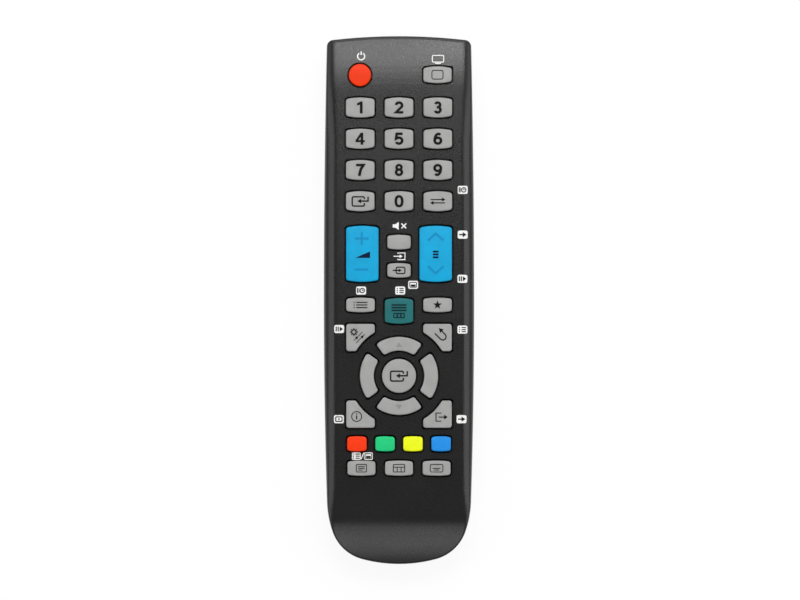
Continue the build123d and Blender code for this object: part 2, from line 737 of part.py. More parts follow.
def make_battery_door():
    """Sliding door: a slice of the rear shell with a rail on each side, a tongue and finger grooves."""
    with BuildPart() as door:
        add(rear_block())
        add(rear_block(WALL), mode=Mode.SUBTRACT)
        rail_y = (DOOR_TOP_Y + RAIL_END_Y) / 2
        web_x = BAY_HALF_WIDTH - DOOR_GAP - RAIL_WEB / 2
        with BuildSketch(Plane.XY.offset(WALL - ROOT)):
            with Locations((-web_x, rail_y), (web_x, rail_y)):
                Rectangle(RAIL_WEB, DOOR_TOP_Y - RAIL_END_Y)
        extrude(amount=RAIL_TOP_Z - WALL + ROOT)
        with BuildSketch(Plane.XY.offset(RAIL_LOW_Z)):
            for side in (-1, 1):
                with Locations((side * (BAY_HALF_WIDTH - DOOR_GAP + RAIL_REACH / 2), rail_y)):
                    Rectangle(RAIL_REACH, DOOR_TOP_Y - RAIL_END_Y)
        extrude(amount=RAIL_TOP_Z - RAIL_LOW_Z)
        add(door_opening(DOOR_GAP), mode=Mode.INTERSECT)
        with BuildSketch(Plane.XY.offset(-CUT_MARGIN)):
            with Locations((0, (LOW_END_Y + DOOR_TOP_Y) / 2)):
                Rectangle(2 * HALF_SPAN, DOOR_CUT_LENGTH)
        extrude(amount=CUT_MARGIN + DOOR_SET_BACK, mode=Mode.SUBTRACT)
        with BuildSketch(Plane.XY.offset(DOOR_SET_BACK)):
            with Locations((0, GRIP_Y)):
                with GridLocations(0, GRIP_PITCH, 1, GRIP_COUNT):
                    Rectangle(*GRIP_SIZE)
        extrude(amount=GRIP_DEPTH, mode=Mode.SUBTRACT)
        with BuildSketch(Plane.XY.offset(TONGUE_ROOT_Z)):
            with Locations((0, DOOR_TOP_Y - TONGUE_ROOT)):
                Rectangle(TONGUE_WIDTH, TONGUE_LENGTH, align=(Align.CENTER, Align.MIN))
        extrude(amount=TONGUE_ROOT_HEIGHT)
        with BuildSketch(Plane.XY.offset(TONGUE_Z)):
            with Locations((0, DOOR_TOP_Y - TONGUE_ROOT)):
                Rectangle(TONGUE_WIDTH, TONGUE_ROOT + TONGUE_LENGTH, align=(Align.CENTER, Align.MIN))
        extrude(amount=TONGUE_THICKNESS)
    save(door, "battery_door")


def make_circuit_board():
    """Board that the keys close their contacts on, with a hole for the screw boss."""
    with BuildPart() as board:
        with BuildSketch(Plane.XY.offset(BOARD_Z)):
            with Locations((0, (BOARD_LOW_Y + BOARD_TOP_Y) / 2)):
                Rectangle(2 * BOARD_HALF_WIDTH, BOARD_TOP_Y - BOARD_LOW_Y)
        extrude(amount=BOARD_THICKNESS)
        fillet(board.edges().filter_by(Axis.Z), BOARD_CORNER)
        with Locations((0, SCREW_Y, BOARD_TOP_Z)):
            Hole(BOSS_RADIUS + MAT_CLEARANCE)
    save(board, "circuit_board")


def make_keypad_mat():
    """Silicone sheet that lies on the board, open where each key stands."""
    with BuildPart() as mat:
        with BuildSketch(Plane.XY.offset(BOARD_TOP_Z)):
            with Locations((0, (MAT_LOW_Y + MAT_TOP_Y) / 2)):
                Rectangle(2 * MAT_HALF_WIDTH, MAT_TOP_Y - MAT_LOW_Y)
            for key in slides:
                add(flange_shape(key, MAT_CLEARANCE), mode=Mode.SUBTRACT)
            with Locations(*[key.place for key in rockers]):
                Rectangle(
                    ROCKER_SIZE[0] + 2 * MAT_CLEARANCE,
                    ROCKER_SIZE[1] + 2 * MAT_CLEARANCE,
                    mode=Mode.SUBTRACT,
                )
            with Locations((0, SCREW_Y)):
                Circle(BOSS_RADIUS + MAT_CLEARANCE, mode=Mode.SUBTRACT)
        extrude(amount=MAT_THICKNESS)
    save(mat, "keypad_mat")


def make_ir_window():
    """Dark lens that fills the end wall, with a flange behind the wall that keeps it in."""
    with BuildPart() as window:
        add(front_block())
        add(rear_block())
        with BuildSketch(Plane.XY.offset(WINDOW_LOW_Z)):
            add(housing_outline(WINDOW_THICKNESS))
        extrude(amount=WINDOW_TOP_Z - WINDOW_LOW_Z, mode=Mode.SUBTRACT)
        add(window_opening(), mode=Mode.INTERSECT)
        with BuildSketch(Plane.XY.offset(WINDOW_LOW_Z)):
            add(housing_outline(WINDOW_THICKNESS))
            add(housing_outline(WINDOW_THICKNESS + WINDOW_FLANGE), mode=Mode.SUBTRACT)
            with Locations((0, TOP_END_Y)):
                Rectangle(2 * (WINDOW_HALF_WIDTH + WINDOW_FLANGE), WINDOW_DEPTH, mode=Mode.INTERSECT)
        extrude(amount=WINDOW_TOP_Z - WINDOW_LOW_Z + WINDOW_FLANGE)
    save(window, "ir_window")


def make_ir_led():
    """Five millimetre emitter on its side behind the window, its two leads bent up to the board."""
    base_y = LED_TIP_Y - LED_LENGTH
    rim_y = base_y + LED_RIM_LENGTH
    profile = [
        (base_y, LED_Z),
        (base_y, LED_Z + LED_RIM_RADIUS),
        (rim_y, LED_Z + LED_RIM_RADIUS),
        (rim_y, LED_Z + LED_RADIUS),
        (LED_TIP_Y - LED_RADIUS, LED_Z + LED_RADIUS),
        (LED_TIP_Y, LED_Z + LED_TIP_RADIUS),
        (LED_TIP_Y, LED_Z),
    ]
    with BuildPart() as led:
        with BuildSketch(Plane.YZ):
            with BuildLine():
                Polyline(*profile, close=True)
            make_face()
        revolve(axis=Axis((0, 0, LED_Z), (0, 1, 0)))
        for side in (-1, 1):
            x = side * LEAD_PITCH / 2
            with BuildSketch(Plane((x, base_y, LED_Z), x_dir=(1, 0, 0), z_dir=(0, -1, 0))):
                Rectangle(LEAD_WIDTH, LEAD_WIDTH)
            extrude(amount=LEAD_RUN)
            with BuildSketch(Plane.XY.offset(LED_Z - LEAD_WIDTH / 2)):
                with Locations((x, base_y - LEAD_RUN)):
                    Rectangle(LEAD_WIDTH, LEAD_WIDTH)
            extrude(amount=BOARD_Z - LED_Z + LEAD_WIDTH / 2)
    save(led, "ir_led")


def make_controller_chip():
    """Small-outline controller under the board, ten legs to a side."""
    with BuildPart() as chip:
        with BuildSketch(Plane.XY.offset(BOARD_Z - CHIP_HEIGHT)):
            with Locations(CHIP_PLACE):
                Rectangle(*CHIP_SIZE)
        extrude(amount=CHIP_HEIGHT - CHIP_STANDOFF)
        with BuildSketch(Plane.XY.offset(BOARD_Z - CHIP_HEIGHT / 2)):
            with Locations(CHIP_PLACE):
                with GridLocations(CHIP_LEG_PITCH, 0, CHIP_LEGS, 1):
                    Rectangle(CHIP_LEG_WIDTH, CHIP_SIZE[1] + 2 * CHIP_LEG_REACH)
        extrude(amount=CHIP_HEIGHT / 2)
    save(chip, "controller_chip")


def make_resonator():
    """Three-legged ceramic resonator hanging under the board."""
    with BuildPart() as resonator:
        with BuildSketch(Plane.XY.offset(BOARD_Z - RESONATOR_SIZE[2])):
            with Locations(RESONATOR_PLACE):
                Rectangle(RESONATOR_SIZE[0], RESONATOR_SIZE[1])
        extrude(amount=RESONATOR_SIZE[2] - RESONATOR_LEG)
        fillet(resonator.edges().filter_by(Axis.Z), RESONATOR_SIZE[1] / 3)
        with BuildSketch(Plane.XY.offset(BOARD_Z - RESONATOR_LEG)):
            with Locations(RESONATOR_PLACE):
                with GridLocations(LEAD_PITCH, 0, 3, 1):
                    Rectangle(LEAD_WIDTH, LEAD_WIDTH)
        extrude(amount=RESONATOR_LEG)
    save(resonator, "resonator")


def make_capacitor():
    """Electrolytic capacitor hanging under the board on two leads."""
    with BuildPart() as capacitor:
        with BuildSketch(Plane.XY.offset(BOARD_Z - CAPACITOR_HEIGHT)):
            with Locations(CAPACITOR_PLACE):
                Circle(CAPACITOR_RADIUS)
        extrude(amount=CAPACITOR_HEIGHT - CAPACITOR_LEG)
        with BuildSketch(Plane.XY.offset(BOARD_Z - CAPACITOR_LEG)):
            with Locations(CAPACITOR_PLACE):
                with GridLocations(LEAD_PITCH, 0, 2, 1):
                    Rectangle(LEAD_WIDTH, LEAD_WIDTH)
        extrude(amount=CAPACITOR_LEG)
    save(capacitor, "electrolytic_capacitor")


def make_transistor():
    """Drive transistor in its half-round case, near the emitter."""
    with BuildPart() as transistor:
        with BuildSketch(Plane.XY.offset(BOARD_Z - TRANSISTOR_HEIGHT)):
            with Locations(TRANSISTOR_PLACE):
                Circle(TRANSISTOR_RADIUS)
                with Locations((0, -TRANSISTOR_RADIUS)):
                    Rectangle(3 * TRANSISTOR_RADIUS, TRANSISTOR_RADIUS, mode=Mode.SUBTRACT)
        extrude(amount=TRANSISTOR_HEIGHT - TRANSISTOR_LEG)
        with BuildSketch(Plane.XY.offset(BOARD_Z - TRANSISTOR_LEG)):
            with Locations(TRANSISTOR_PLACE):
                with GridLocations(LEAD_PITCH / 2, 0, 3, 1):
                    Rectangle(LEAD_WIDTH, LEAD_WIDTH)
        extrude(amount=TRANSISTOR_LEG)
    save(transistor, "drive_transistor")


def make_chip_passives():
    """The small surface-mounted resistors and capacitors, one group."""
    with BuildPart() as passives:
        with BuildSketch(Plane.XY.offset(BOARD_Z - PASSIVE_SIZE[2])):
            with Locations(*PASSIVE_PLACES):
                Rectangle(PASSIVE_SIZE[0], PASSIVE_SIZE[1])
        extrude(amount=PASSIVE_SIZE[2])
    save(passives, "chip_passives")


def make_cell(name, x, plus_end):
    """One AAA cell with its nub towards plus_end, which is 1 for +Y and -1 for -Y."""
    plate_y = BAY_TOP_Y if plus_end > 0 else BAY_LOW_Y
    nub_y = plate_y - plus_end * (PLATE_THICKNESS + BUMP_HEIGHT)
    with BuildPart() as cell:
        with BuildSketch(Plane((x, nub_y, CELL_Z), x_dir=(1, 0, 0), z_dir=(0, -plus_end, 0))):
            Circle(CELL_NUB_RADIUS)
        extrude(amount=CELL_NUB_LENGTH)
        body_y = nub_y - plus_end * CELL_NUB_LENGTH
        with BuildSketch(Plane((x, body_y, CELL_Z), x_dir=(1, 0, 0), z_dir=(0, -plus_end, 0))):
            Circle(CELL_RADIUS)
        extrude(amount=CELL_LENGTH - CELL_NUB_LENGTH)
    save(cell, name)


def bay_end_plane(x, inward, depth=0.0):
    """Plane on an end wall of the bay, looking into it, at the height of the cells."""
    wall_y = BAY_TOP_Y if inward < 0 else BAY_LOW_Y
    return Plane((x, wall_y + inward * depth, CELL_Z), x_dir=(1, 0, 0), z_dir=(0, inward, 0))


def contact_plate(x, inward):
    """Flat contact against an end wall of the bay, its round bump pointing into the bay."""
    with BuildPart() as plate:
        with BuildSketch(bay_end_plane(x, inward)):
            Rectangle(*PLATE_SIZE)
        extrude(amount=PLATE_THICKNESS)
        with BuildSketch(bay_end_plane(x, inward, PLATE_THICKNESS)):
            Circle(BUMP_RADIUS)
        extrude(amount=BUMP_HEIGHT)
    return plate.part


def contact_tab(x):
    """Tab from a contact's upper edge through the bay's roof to the board."""
    tab_z = CELL_Z + PLATE_SIZE[1] / 2 - TAB_ROOT
    with BuildPart() as tab:
        with BuildSketch(Plane.XY.offset(tab_z)):
            with Locations((x, BAY_TOP_Y)):
                Rectangle(TAB_WIDTH, PLATE_THICKNESS, align=(Align.CENTER, Align.MAX))
        extrude(amount=BOARD_Z - tab_z)
    return tab.part


def spring_point(x, inward, turn):
    """Point on the middle line of a contact spring after so many turns from its wide base."""
    share = turn / SPRING_TURNS
    radius = SPRING_BASE_RADIUS + (SPRING_TIP_RADIUS - SPRING_BASE_RADIUS) * share
    rise = SPRING_SEAT + (CELL_GAP - WIRE_RADIUS - SPRING_TIP_GAP - SPRING_SEAT) * share
    wall_y = BAY_TOP_Y if inward < 0 else BAY_LOW_Y
    angle = 2 * pi * turn
    return (x + radius * cos(angle), wall_y + inward * rise, CELL_Z + radius * sin(angle))


def contact_spring(x, inward):
    """Conical battery spring standing on its plate, one wire drawn in short straight runs."""
    steps = SPRING_TURNS * SPRING_STEPS
    with BuildPart() as spring:
        with BuildSketch(bay_end_plane(x, inward)):
            Rectangle(*PLATE_SIZE)
        extrude(amount=PLATE_THICKNESS)
        with BuildLine() as wire:
            Polyline(*[spring_point(x, inward, step / SPRING_STEPS) for step in range(steps + 1)])
        with BuildSketch(Plane(origin=wire.line @ 0, z_dir=wire.line % 0)):
            RegularPolygon(WIRE_RADIUS, WIRE_SIDES)
        sweep(path=wire.line, transition=Transition.RIGHT)
    return spring.part


def spring_gap():
    """Least gap between the turns of a contact spring, measured on points of its middle line."""
    steps = SPRING_TURNS * SPRING_STEPS
    points = [Vector(*spring_point(0, 1, step / SPRING_STEPS)) for step in range(steps + 1)]
    half_turn = SPRING_STEPS // 2
    gaps = []
    for first in range(steps + 1 - half_turn):
        gaps += [(points[last] - points[first]).length for last in range(first + half_turn, steps + 1)]
    return min(gaps) - 2 * WIRE_RADIUS


def make_contacts():
    """The two contacts that lead to the board, and the bridge that joins the cells at the far end."""
    with BuildPart() as positive:
        add(contact_plate(-CELL_X, -1))
        add(contact_tab(-CELL_X))
    save(positive, "contact_positive")
    with BuildPart() as negative:
        add(contact_spring(CELL_X, -1))
        add(contact_tab(CELL_X))
    save(negative, "contact_negative")
    with BuildPart() as bridge:
        add(contact_plate(CELL_X, 1))
        add(contact_spring(-CELL_X, 1))
        with BuildSketch(Plane.XZ.offset(-BAY_LOW_Y - PLATE_THICKNESS)):
            with Locations((0, CELL_Z)):
                Rectangle(2 * CELL_X, TAB_WIDTH)
        extrude(amount=PLATE_THICKNESS)
    save(bridge, "contact_bridge")


def make_case_screw():
    """Self-tapping screw with a crosshead, driven up from the battery bay into the front cover's boss."""
    with BuildPart() as screw:
        with BuildSketch(Plane.XY.offset(BAY_ROOF_Z - SCREW_HEAD_HEIGHT)):
            with Locations((0, SCREW_Y)):
                Circle(SCREW_HEAD_RADIUS)
        extrude(amount=SCREW_HEAD_HEIGHT)
        with BuildSketch(Plane.XY.offset(BAY_ROOF_Z)):
            with Locations((0, SCREW_Y)):
                Circle(SCREW_RADIUS)
        extrude(amount=SCREW_TIP_Z - BAY_ROOF_Z)
        with BuildSketch(Plane.XY.offset(BAY_ROOF_Z - SCREW_HEAD_HEIGHT)):
            with Locations((0, SCREW_Y)):
                Rectangle(CROSS_LENGTH, CROSS_WIDTH)
                Rectangle(CROSS_WIDTH, CROSS_LENGTH)
        extrude(amount=CROSS_DEPTH, mode=Mode.SUBTRACT)
    save(screw, "case_screw")


slides = slide_keys()
rockers = rocker_keys()
for key in slides:
    make_slide_key(key)
for key in rockers:
    make_rocker_key(key)
make_front_cover()
make_rear_cover()
make_battery_door()
make_circuit_board()
make_keypad_mat()
make_ir_window()
make_ir_led()
make_controller_chip()
make_resonator()
make_capacitor()
make_transistor()
make_chip_passives()
make_cell("battery_left", -CELL_X, 1)
make_cell("battery_right", CELL_X, -1)
make_contacts()
print(f"least gap between a contact spring's turns: {spring_gap():.2f} mm")
make_case_screw()
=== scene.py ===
"""Looks of the TV remote control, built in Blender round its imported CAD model.

Sizes are in millimetres and become metres where a mesh is made. X runs across the handset, Y along it
towards the infrared end and Z up out of the key face, as in the CAD model.
"""

import json
import logging
import math
from dataclasses import dataclass, field
from enum import Enum
from typing import Callable, Iterable, Optional, Sequence

import bmesh
import bpy
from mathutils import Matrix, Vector
from mathutils.kdtree import KDTree

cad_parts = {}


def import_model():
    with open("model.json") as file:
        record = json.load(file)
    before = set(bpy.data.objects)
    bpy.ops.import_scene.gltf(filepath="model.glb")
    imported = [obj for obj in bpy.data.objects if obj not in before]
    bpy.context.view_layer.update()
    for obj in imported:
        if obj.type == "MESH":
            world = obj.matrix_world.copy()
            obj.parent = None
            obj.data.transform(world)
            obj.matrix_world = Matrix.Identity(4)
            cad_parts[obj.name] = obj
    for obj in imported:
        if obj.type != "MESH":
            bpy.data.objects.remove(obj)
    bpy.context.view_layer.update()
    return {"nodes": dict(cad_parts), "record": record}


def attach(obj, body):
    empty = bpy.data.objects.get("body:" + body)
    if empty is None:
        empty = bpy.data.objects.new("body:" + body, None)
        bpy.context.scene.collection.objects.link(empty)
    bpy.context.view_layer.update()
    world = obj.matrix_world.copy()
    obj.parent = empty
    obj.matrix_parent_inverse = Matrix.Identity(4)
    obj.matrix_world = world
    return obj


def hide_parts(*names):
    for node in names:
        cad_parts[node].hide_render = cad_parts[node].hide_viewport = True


MM = 0.001
LOG = logging.getLogger("remote")
Point = tuple[float, float]
Place = tuple[float, float, float]
Piece = bpy.types.Object


# Shader writing


class Wire:
    """One output of a shader node, with Python's operators standing for Math nodes."""

    def __init__(self, recipe: "Recipe", socket: bpy.types.NodeSocket) -> None:
        """Keep the recipe that the socket belongs to, and the socket."""
        self.recipe = recipe
        self.socket = socket

    def _math(self, operation: str, *values: object) -> "Wire":
        """Add one Math node that works on this wire or on the values given."""
        sockets = {index: value for index, value in enumerate(values)}
        return self.recipe.node("ShaderNodeMath", {"operation": operation}, sockets)

    def __add__(self, other: object) -> "Wire":
        """Sum."""
        return self._math("ADD", self, other)

    __radd__ = __add__

    def __sub__(self, other: object) -> "Wire":
        """Difference."""
        return self._math("SUBTRACT", self, other)

    def __rsub__(self, other: object) -> "Wire":
        """Difference, from a plain number."""
        return self._math("SUBTRACT", other, self)

    def __mul__(self, other: object) -> "Wire":
        """Product."""
        return self._math("MULTIPLY", self, other)

    __rmul__ = __mul__

    def __gt__(self, other: object) -> "Wire":
        """One where this wire is greater, else zero."""
        return self._math("GREATER_THAN", self, other)

    def most(self, other: object) -> "Wire":
        """The greater of this wire and another."""
        return self._math("MAXIMUM", self, other)

    def part(self, name: str) -> "Wire":
        """Another output of the same node."""
        return Wire(self.recipe, self.socket.node.outputs[name])


class Recipe:
    """A material being written: its nodes come from one method."""

    def __init__(self, name: str) -> None:
        """Make an empty material with its shader and its Object coordinates.

        Args:
            name: The material's name.
        """
        self.material = bpy.data.materials.new(name)
        self.material.use_nodes = True
        self.tree = self.material.node_tree
        self.tree.nodes.clear()
        self.place = self.node("ShaderNodeTexCoord").part("Object")

    def node(self, kind: str, settings: Optional[dict] = None, sockets: Optional[dict] = None) -> Wire:
        """Add a node.

        Args:
            kind: Blender's type name of the node.
            settings: Its properties, set first; "stops" sets a ramp's stops.
            sockets: Values or wires of its inputs, by name or number.

        Returns:
            The wire of its first output, or of its first input where it has no output.
        """
        made = self.tree.nodes.new(kind)
        for key, value in (settings or {}).items():
            if key == "stops":
                self._set_stops(made, value)
            else:
                setattr(made, key, value)
        for key, value in (sockets or {}).items():
            if isinstance(value, Wire):
                self.tree.links.new(value.socket, made.inputs[key])
            else:
                made.inputs[key].default_value = value
        return Wire(self, made.outputs[0] if made.outputs else made.inputs[0])

    @staticmethod
    def _set_stops(ramp: bpy.types.Node, stops: Sequence[tuple[float, float]]) -> None:
        """Give a colour ramp grey stops.

        Args:
            ramp: The ramp node.
            stops: Place and grey level of each stop.
        """
        band = ramp.color_ramp.elements
        while len(band) < len(stops):
            band.new(0.5)
        for element, (place, level) in zip(band, stops):
            element.position = place
            element.color = (level, level, level, 1.0)

    def noise(self, size: float, detail: float, seed: float = 0.0) -> Wire:
        """Noise from about 0 to 1 whose features are of one size.

        Args:
            size: Feature size in millimetres.
            detail: Octaves.
            seed: Shift of the pattern.

        Returns:
            The noise value.
        """
        place = self.node(
            "ShaderNodeVectorMath", {"operation": "ADD"}, {0: self.place, 1: (seed, seed * 0.7, -seed)}
        )
        return self.node(
            "ShaderNodeTexNoise", None, {"Vector": place, "Scale": 1.0 / (size * MM), "Detail": detail}
        )

    def ramp(self, value: Wire, *stops: tuple[float, float]) -> Wire:
        """Remap a value through grey stops."""
        return self.node("ShaderNodeValToRGB", {"stops": stops}, {0: value})

    def mix(self, share: object, first: object, second: object) -> Wire:
        """Mix two colours.

        Args:
            share: Share of the second colour.
            first: Colour or wire at share 0.
            second: Colour or wire at share 1.

        Returns:
            The mixed colour.
        """
        mixed = self.node("ShaderNodeMix", {"data_type": "RGBA"}, {0: share, 6: first, 7: second})
        return Wire(self, mixed.socket.node.outputs[2])

    def mottle(
        self, pattern: Wire, low: float, high: float, colour: Sequence[float], dark: float, light: float
    ) -> Wire:
        """Spread a colour from darker to lighter after a pattern.

        Args:
            pattern: The pattern.
            low: Level of it at which the colour is darkest.
            high: Level at which it is lightest.
            colour: The colour.
            dark: Factor of the darkest.
            light: Factor of the lightest.

        Returns:
            The mottled colour.
        """
        share = self.ramp(pattern, (low, 0.0), (high, 1.0))
        return self.mix(share, shade(colour, dark), shade(colour, light))

    def bump(self, height: Wire, depth: float) -> Wire:
        """Normal of a height pattern, whose full depth is in millimetres."""
        return self.node("ShaderNodeBump", None, {"Height": height, "Distance": depth * MM, "Strength": 1.0})

    def finish(self, **sockets: object) -> bpy.types.Material:
        """Put the shader on the material.

        Args:
            sockets: Inputs of the Principled shader, with _ for a space.

        Returns:
            The finished material.
        """
        inputs = {key.replace("_", " "): value for key, value in sockets.items()}
        shader = self.node("ShaderNodeBsdfPrincipled", None, inputs)
        self.node("ShaderNodeOutputMaterial", None, {"Surface": shader})
        return self.material


def tint(red: float, green: float, blue: float) -> tuple[float, float, float, float]:
    """Turn a colour of 0 to 255 steps into the linear values that Blender takes."""
    levels = [step / 255 for step in (red, green, blue)]
    linear = [v / 12.92 if v <= 0.04045 else ((v + 0.055) / 1.055) ** 2.4 for v in levels]
    return (linear[0], linear[1], linear[2], 1.0)


def shade(colour: Sequence[float], factor: float) -> tuple[float, float, float, float]:
    """A linear colour made lighter or darker by a factor."""
    return tuple(min(1.0, level * factor) for level in colour[:3]) + (1.0,)


@dataclass(frozen=True)
class Finish:
    """A finish with its own name and colour."""

    name: str
    colour: tuple

    def sockets(self, recipe: Recipe) -> dict:
        """Inputs of its shader, which each kind of finish writes."""
        raise NotImplementedError

    def material(self) -> bpy.types.Material:
        """Write the finish as a material."""
        recipe = Recipe(self.name)
        return recipe.finish(**self.sockets(recipe))


@dataclass(frozen=True)
class MouldedPlastic(Finish):
    """Spark-eroded grain of a moulded housing, slightly handled."""

    grain: float = 0.46
    depth: float = 0.006
    roughness: float = 0.5
    spread: float = 0.42
    levels: Point = (0.38, 0.64)

    def sockets(self, recipe: Recipe) -> dict:
        """Inputs of its shader."""
        coarse = recipe.noise(self.grain, 3.0)
        fine = recipe.noise(self.grain * 0.35, 1.0, 0.3)
        patches = recipe.noise(22.0, 3.0, 0.11)
        grain = coarse * 0.6 + fine * 0.4
        low, high = self.levels
        body = recipe.mottle(grain, low, high, self.colour, 1 - self.spread, 1 + self.spread)
        handled = recipe.ramp(patches, (0.4, 0.0), (0.75, 1.0))
        dull = recipe.ramp(grain, (low, 0.06), (high, 0.0))
        return dict(
            Base_Color=recipe.mix(handled * 0.25, body, shade(self.colour, 1.25)),
            Roughness=dull - handled * 0.04 + (self.roughness - 0.04),
            Normal=recipe.bump(grain, self.depth),
            Specular_IOR_Level=0.5,
        )


@dataclass(frozen=True)
class Silicone(Finish):
    """Satin silicone rubber of a key or a mat, with a faint moulding texture."""

    roughness: float = 0.42

    def sockets(self, recipe: Recipe) -> dict:
        """Inputs of its shader."""
        skin = recipe.noise(0.18, 2.0)
        cloud = recipe.noise(4.5, 2.0, 0.21)
        body = recipe.mottle(cloud, 0.3, 0.7, self.colour, 0.93, 1.06)
        speck = recipe.ramp(skin, (0.4, 0.0), (0.7, 1.0))
        return dict(
            Base_Color=recipe.mix(speck * 0.12, body, shade(self.colour, 1.15)),
            Roughness=recipe.ramp(cloud, (0.3, self.roughness + 0.06), (0.7, self.roughness - 0.03)),
            Normal=recipe.bump(skin, 0.006),
            Specular_IOR_Level=0.24,
        )


@dataclass(frozen=True)
class PrintInk(Finish):
    """Screen-printed ink with a slightly uneven film."""

    spread: float = 0.12

    def sockets(self, recipe: Recipe) -> dict:
        """Inputs of its shader."""
        film = recipe.noise(0.22, 2.0, 0.4)
        return dict(
            Base_Color=recipe.mottle(film, 0.3, 0.75, self.colour, 1 - self.spread, 1 + self.spread),
            Roughness=recipe.ramp(film, (0.3, 0.72), (0.7, 0.6)),
            Normal=recipe.bump(film, 0.004),
            Specular_IOR_Level=0.15,
        )


@dataclass(frozen=True)
class Polished(Finish):
    """Polished plastic or lacquer: a lens, a sleeve or a dipped coat."""

    roughness: float = 0.08

    def sockets(self, recipe: Recipe) -> dict:
        """Inputs of its shader."""
        haze = recipe.noise(3.0, 3.0, 0.5)
        hairline = recipe.noise(0.4, 2.0, 0.9)
        return dict(
            Base_Color=recipe.mix(haze, shade(self.colour, 0.85), shade(self.colour, 1.15)),
            Roughness=recipe.ramp(haze, (0.3, self.roughness), (0.75, self.roughness + 0.08)),
            Normal=recipe.bump(hairline, 0.002),
            Coat_Weight=0.4,
            Coat_Roughness=0.05,
        )


@dataclass(frozen=True)
class PlatedMetal(Finish):
    """Plated or drawn metal with fine lines along one axis and a trace of tarnish."""

    roughness: float = 0.28
    lines: tuple = (1.0, 0.06, 1.0)

    def sockets(self, recipe: Recipe) -> dict:
        """Inputs of its shader."""
        stretched = recipe.node(
            "ShaderNodeMapping", {"vector_type": "POINT"}, {"Vector": recipe.place, "Scale": self.lines}
        )
        lines = recipe.node("ShaderNodeTexNoise", None, {"Vector": stretched, "Scale": 9000.0, "Detail": 2.0})
        tarnish = recipe.ramp(recipe.noise(1.6, 3.0, 0.6), (0.45, 0.0), (0.8, 1.0))
        return dict(
            Base_Color=recipe.mix(tarnish * 0.5, self.colour, shade(self.colour, 0.62)),
            Metallic=1.0,
            Roughness=lines * 0.16 + tarnish * 0.15 + (self.roughness - 0.06),
            Normal=recipe.bump(lines, 0.003),
        )


@dataclass(frozen=True)
class BoardLaminate(Finish):
    """Phenolic board under a solder mask, with its tracks as faint raised lines."""

    def sockets(self, recipe: Recipe) -> dict:
        """Inputs of its shader."""
        tracks = recipe.node(
            "ShaderNodeTexWave",
            {"wave_type": "BANDS", "bands_direction": "X"},
            {"Vector": recipe.place, "Scale": 160.0, "Distortion": 9.0, "Detail": 1.0, "Detail Scale": 0.4},
        )
        line = recipe.ramp(tracks, (0.55, 0.0), (0.68, 1.0))
        fibre = recipe.noise(0.6, 4.0)
        base = recipe.mix(fibre, shade(self.colour, 0.8), shade(self.colour, 1.2))
        return dict(
            Base_Color=recipe.mix(line * 0.45, base, shade(self.colour, 1.7)),
            Roughness=recipe.ramp(fibre, (0.3, 0.34), (0.7, 0.48)),
            Normal=recipe.bump(line, 0.03),
        )


@dataclass(frozen=True)
class CellFilm(Finish):
    """Printed film round a battery: a dark body with a metallic band at its positive end."""

    band: tuple
    band_from: float
    direction: float

    def sockets(self, recipe: Recipe) -> dict:
        """Inputs of its shader."""
        axes = recipe.node("ShaderNodeSeparateXYZ", None, {0: recipe.place})
        along = axes.part("Y")
        banded = (along * self.direction) > (self.band_from * MM * self.direction)
        scuff = recipe.noise(0.9, 4.0, 0.8)
        worn = recipe.ramp(scuff, (0.6, 0.0), (0.78, 1.0))
        colour = recipe.mix(banded, self.colour, self.band)
        return dict(
            Base_Color=recipe.mix(worn * 0.18, colour, (0.5, 0.5, 0.5, 1.0)),
            Metallic=banded * 0.75,
            Roughness=recipe.ramp(scuff, (0.3, 0.24), (0.8, 0.42)),
            Normal=recipe.bump(scuff, 0.008),
        )


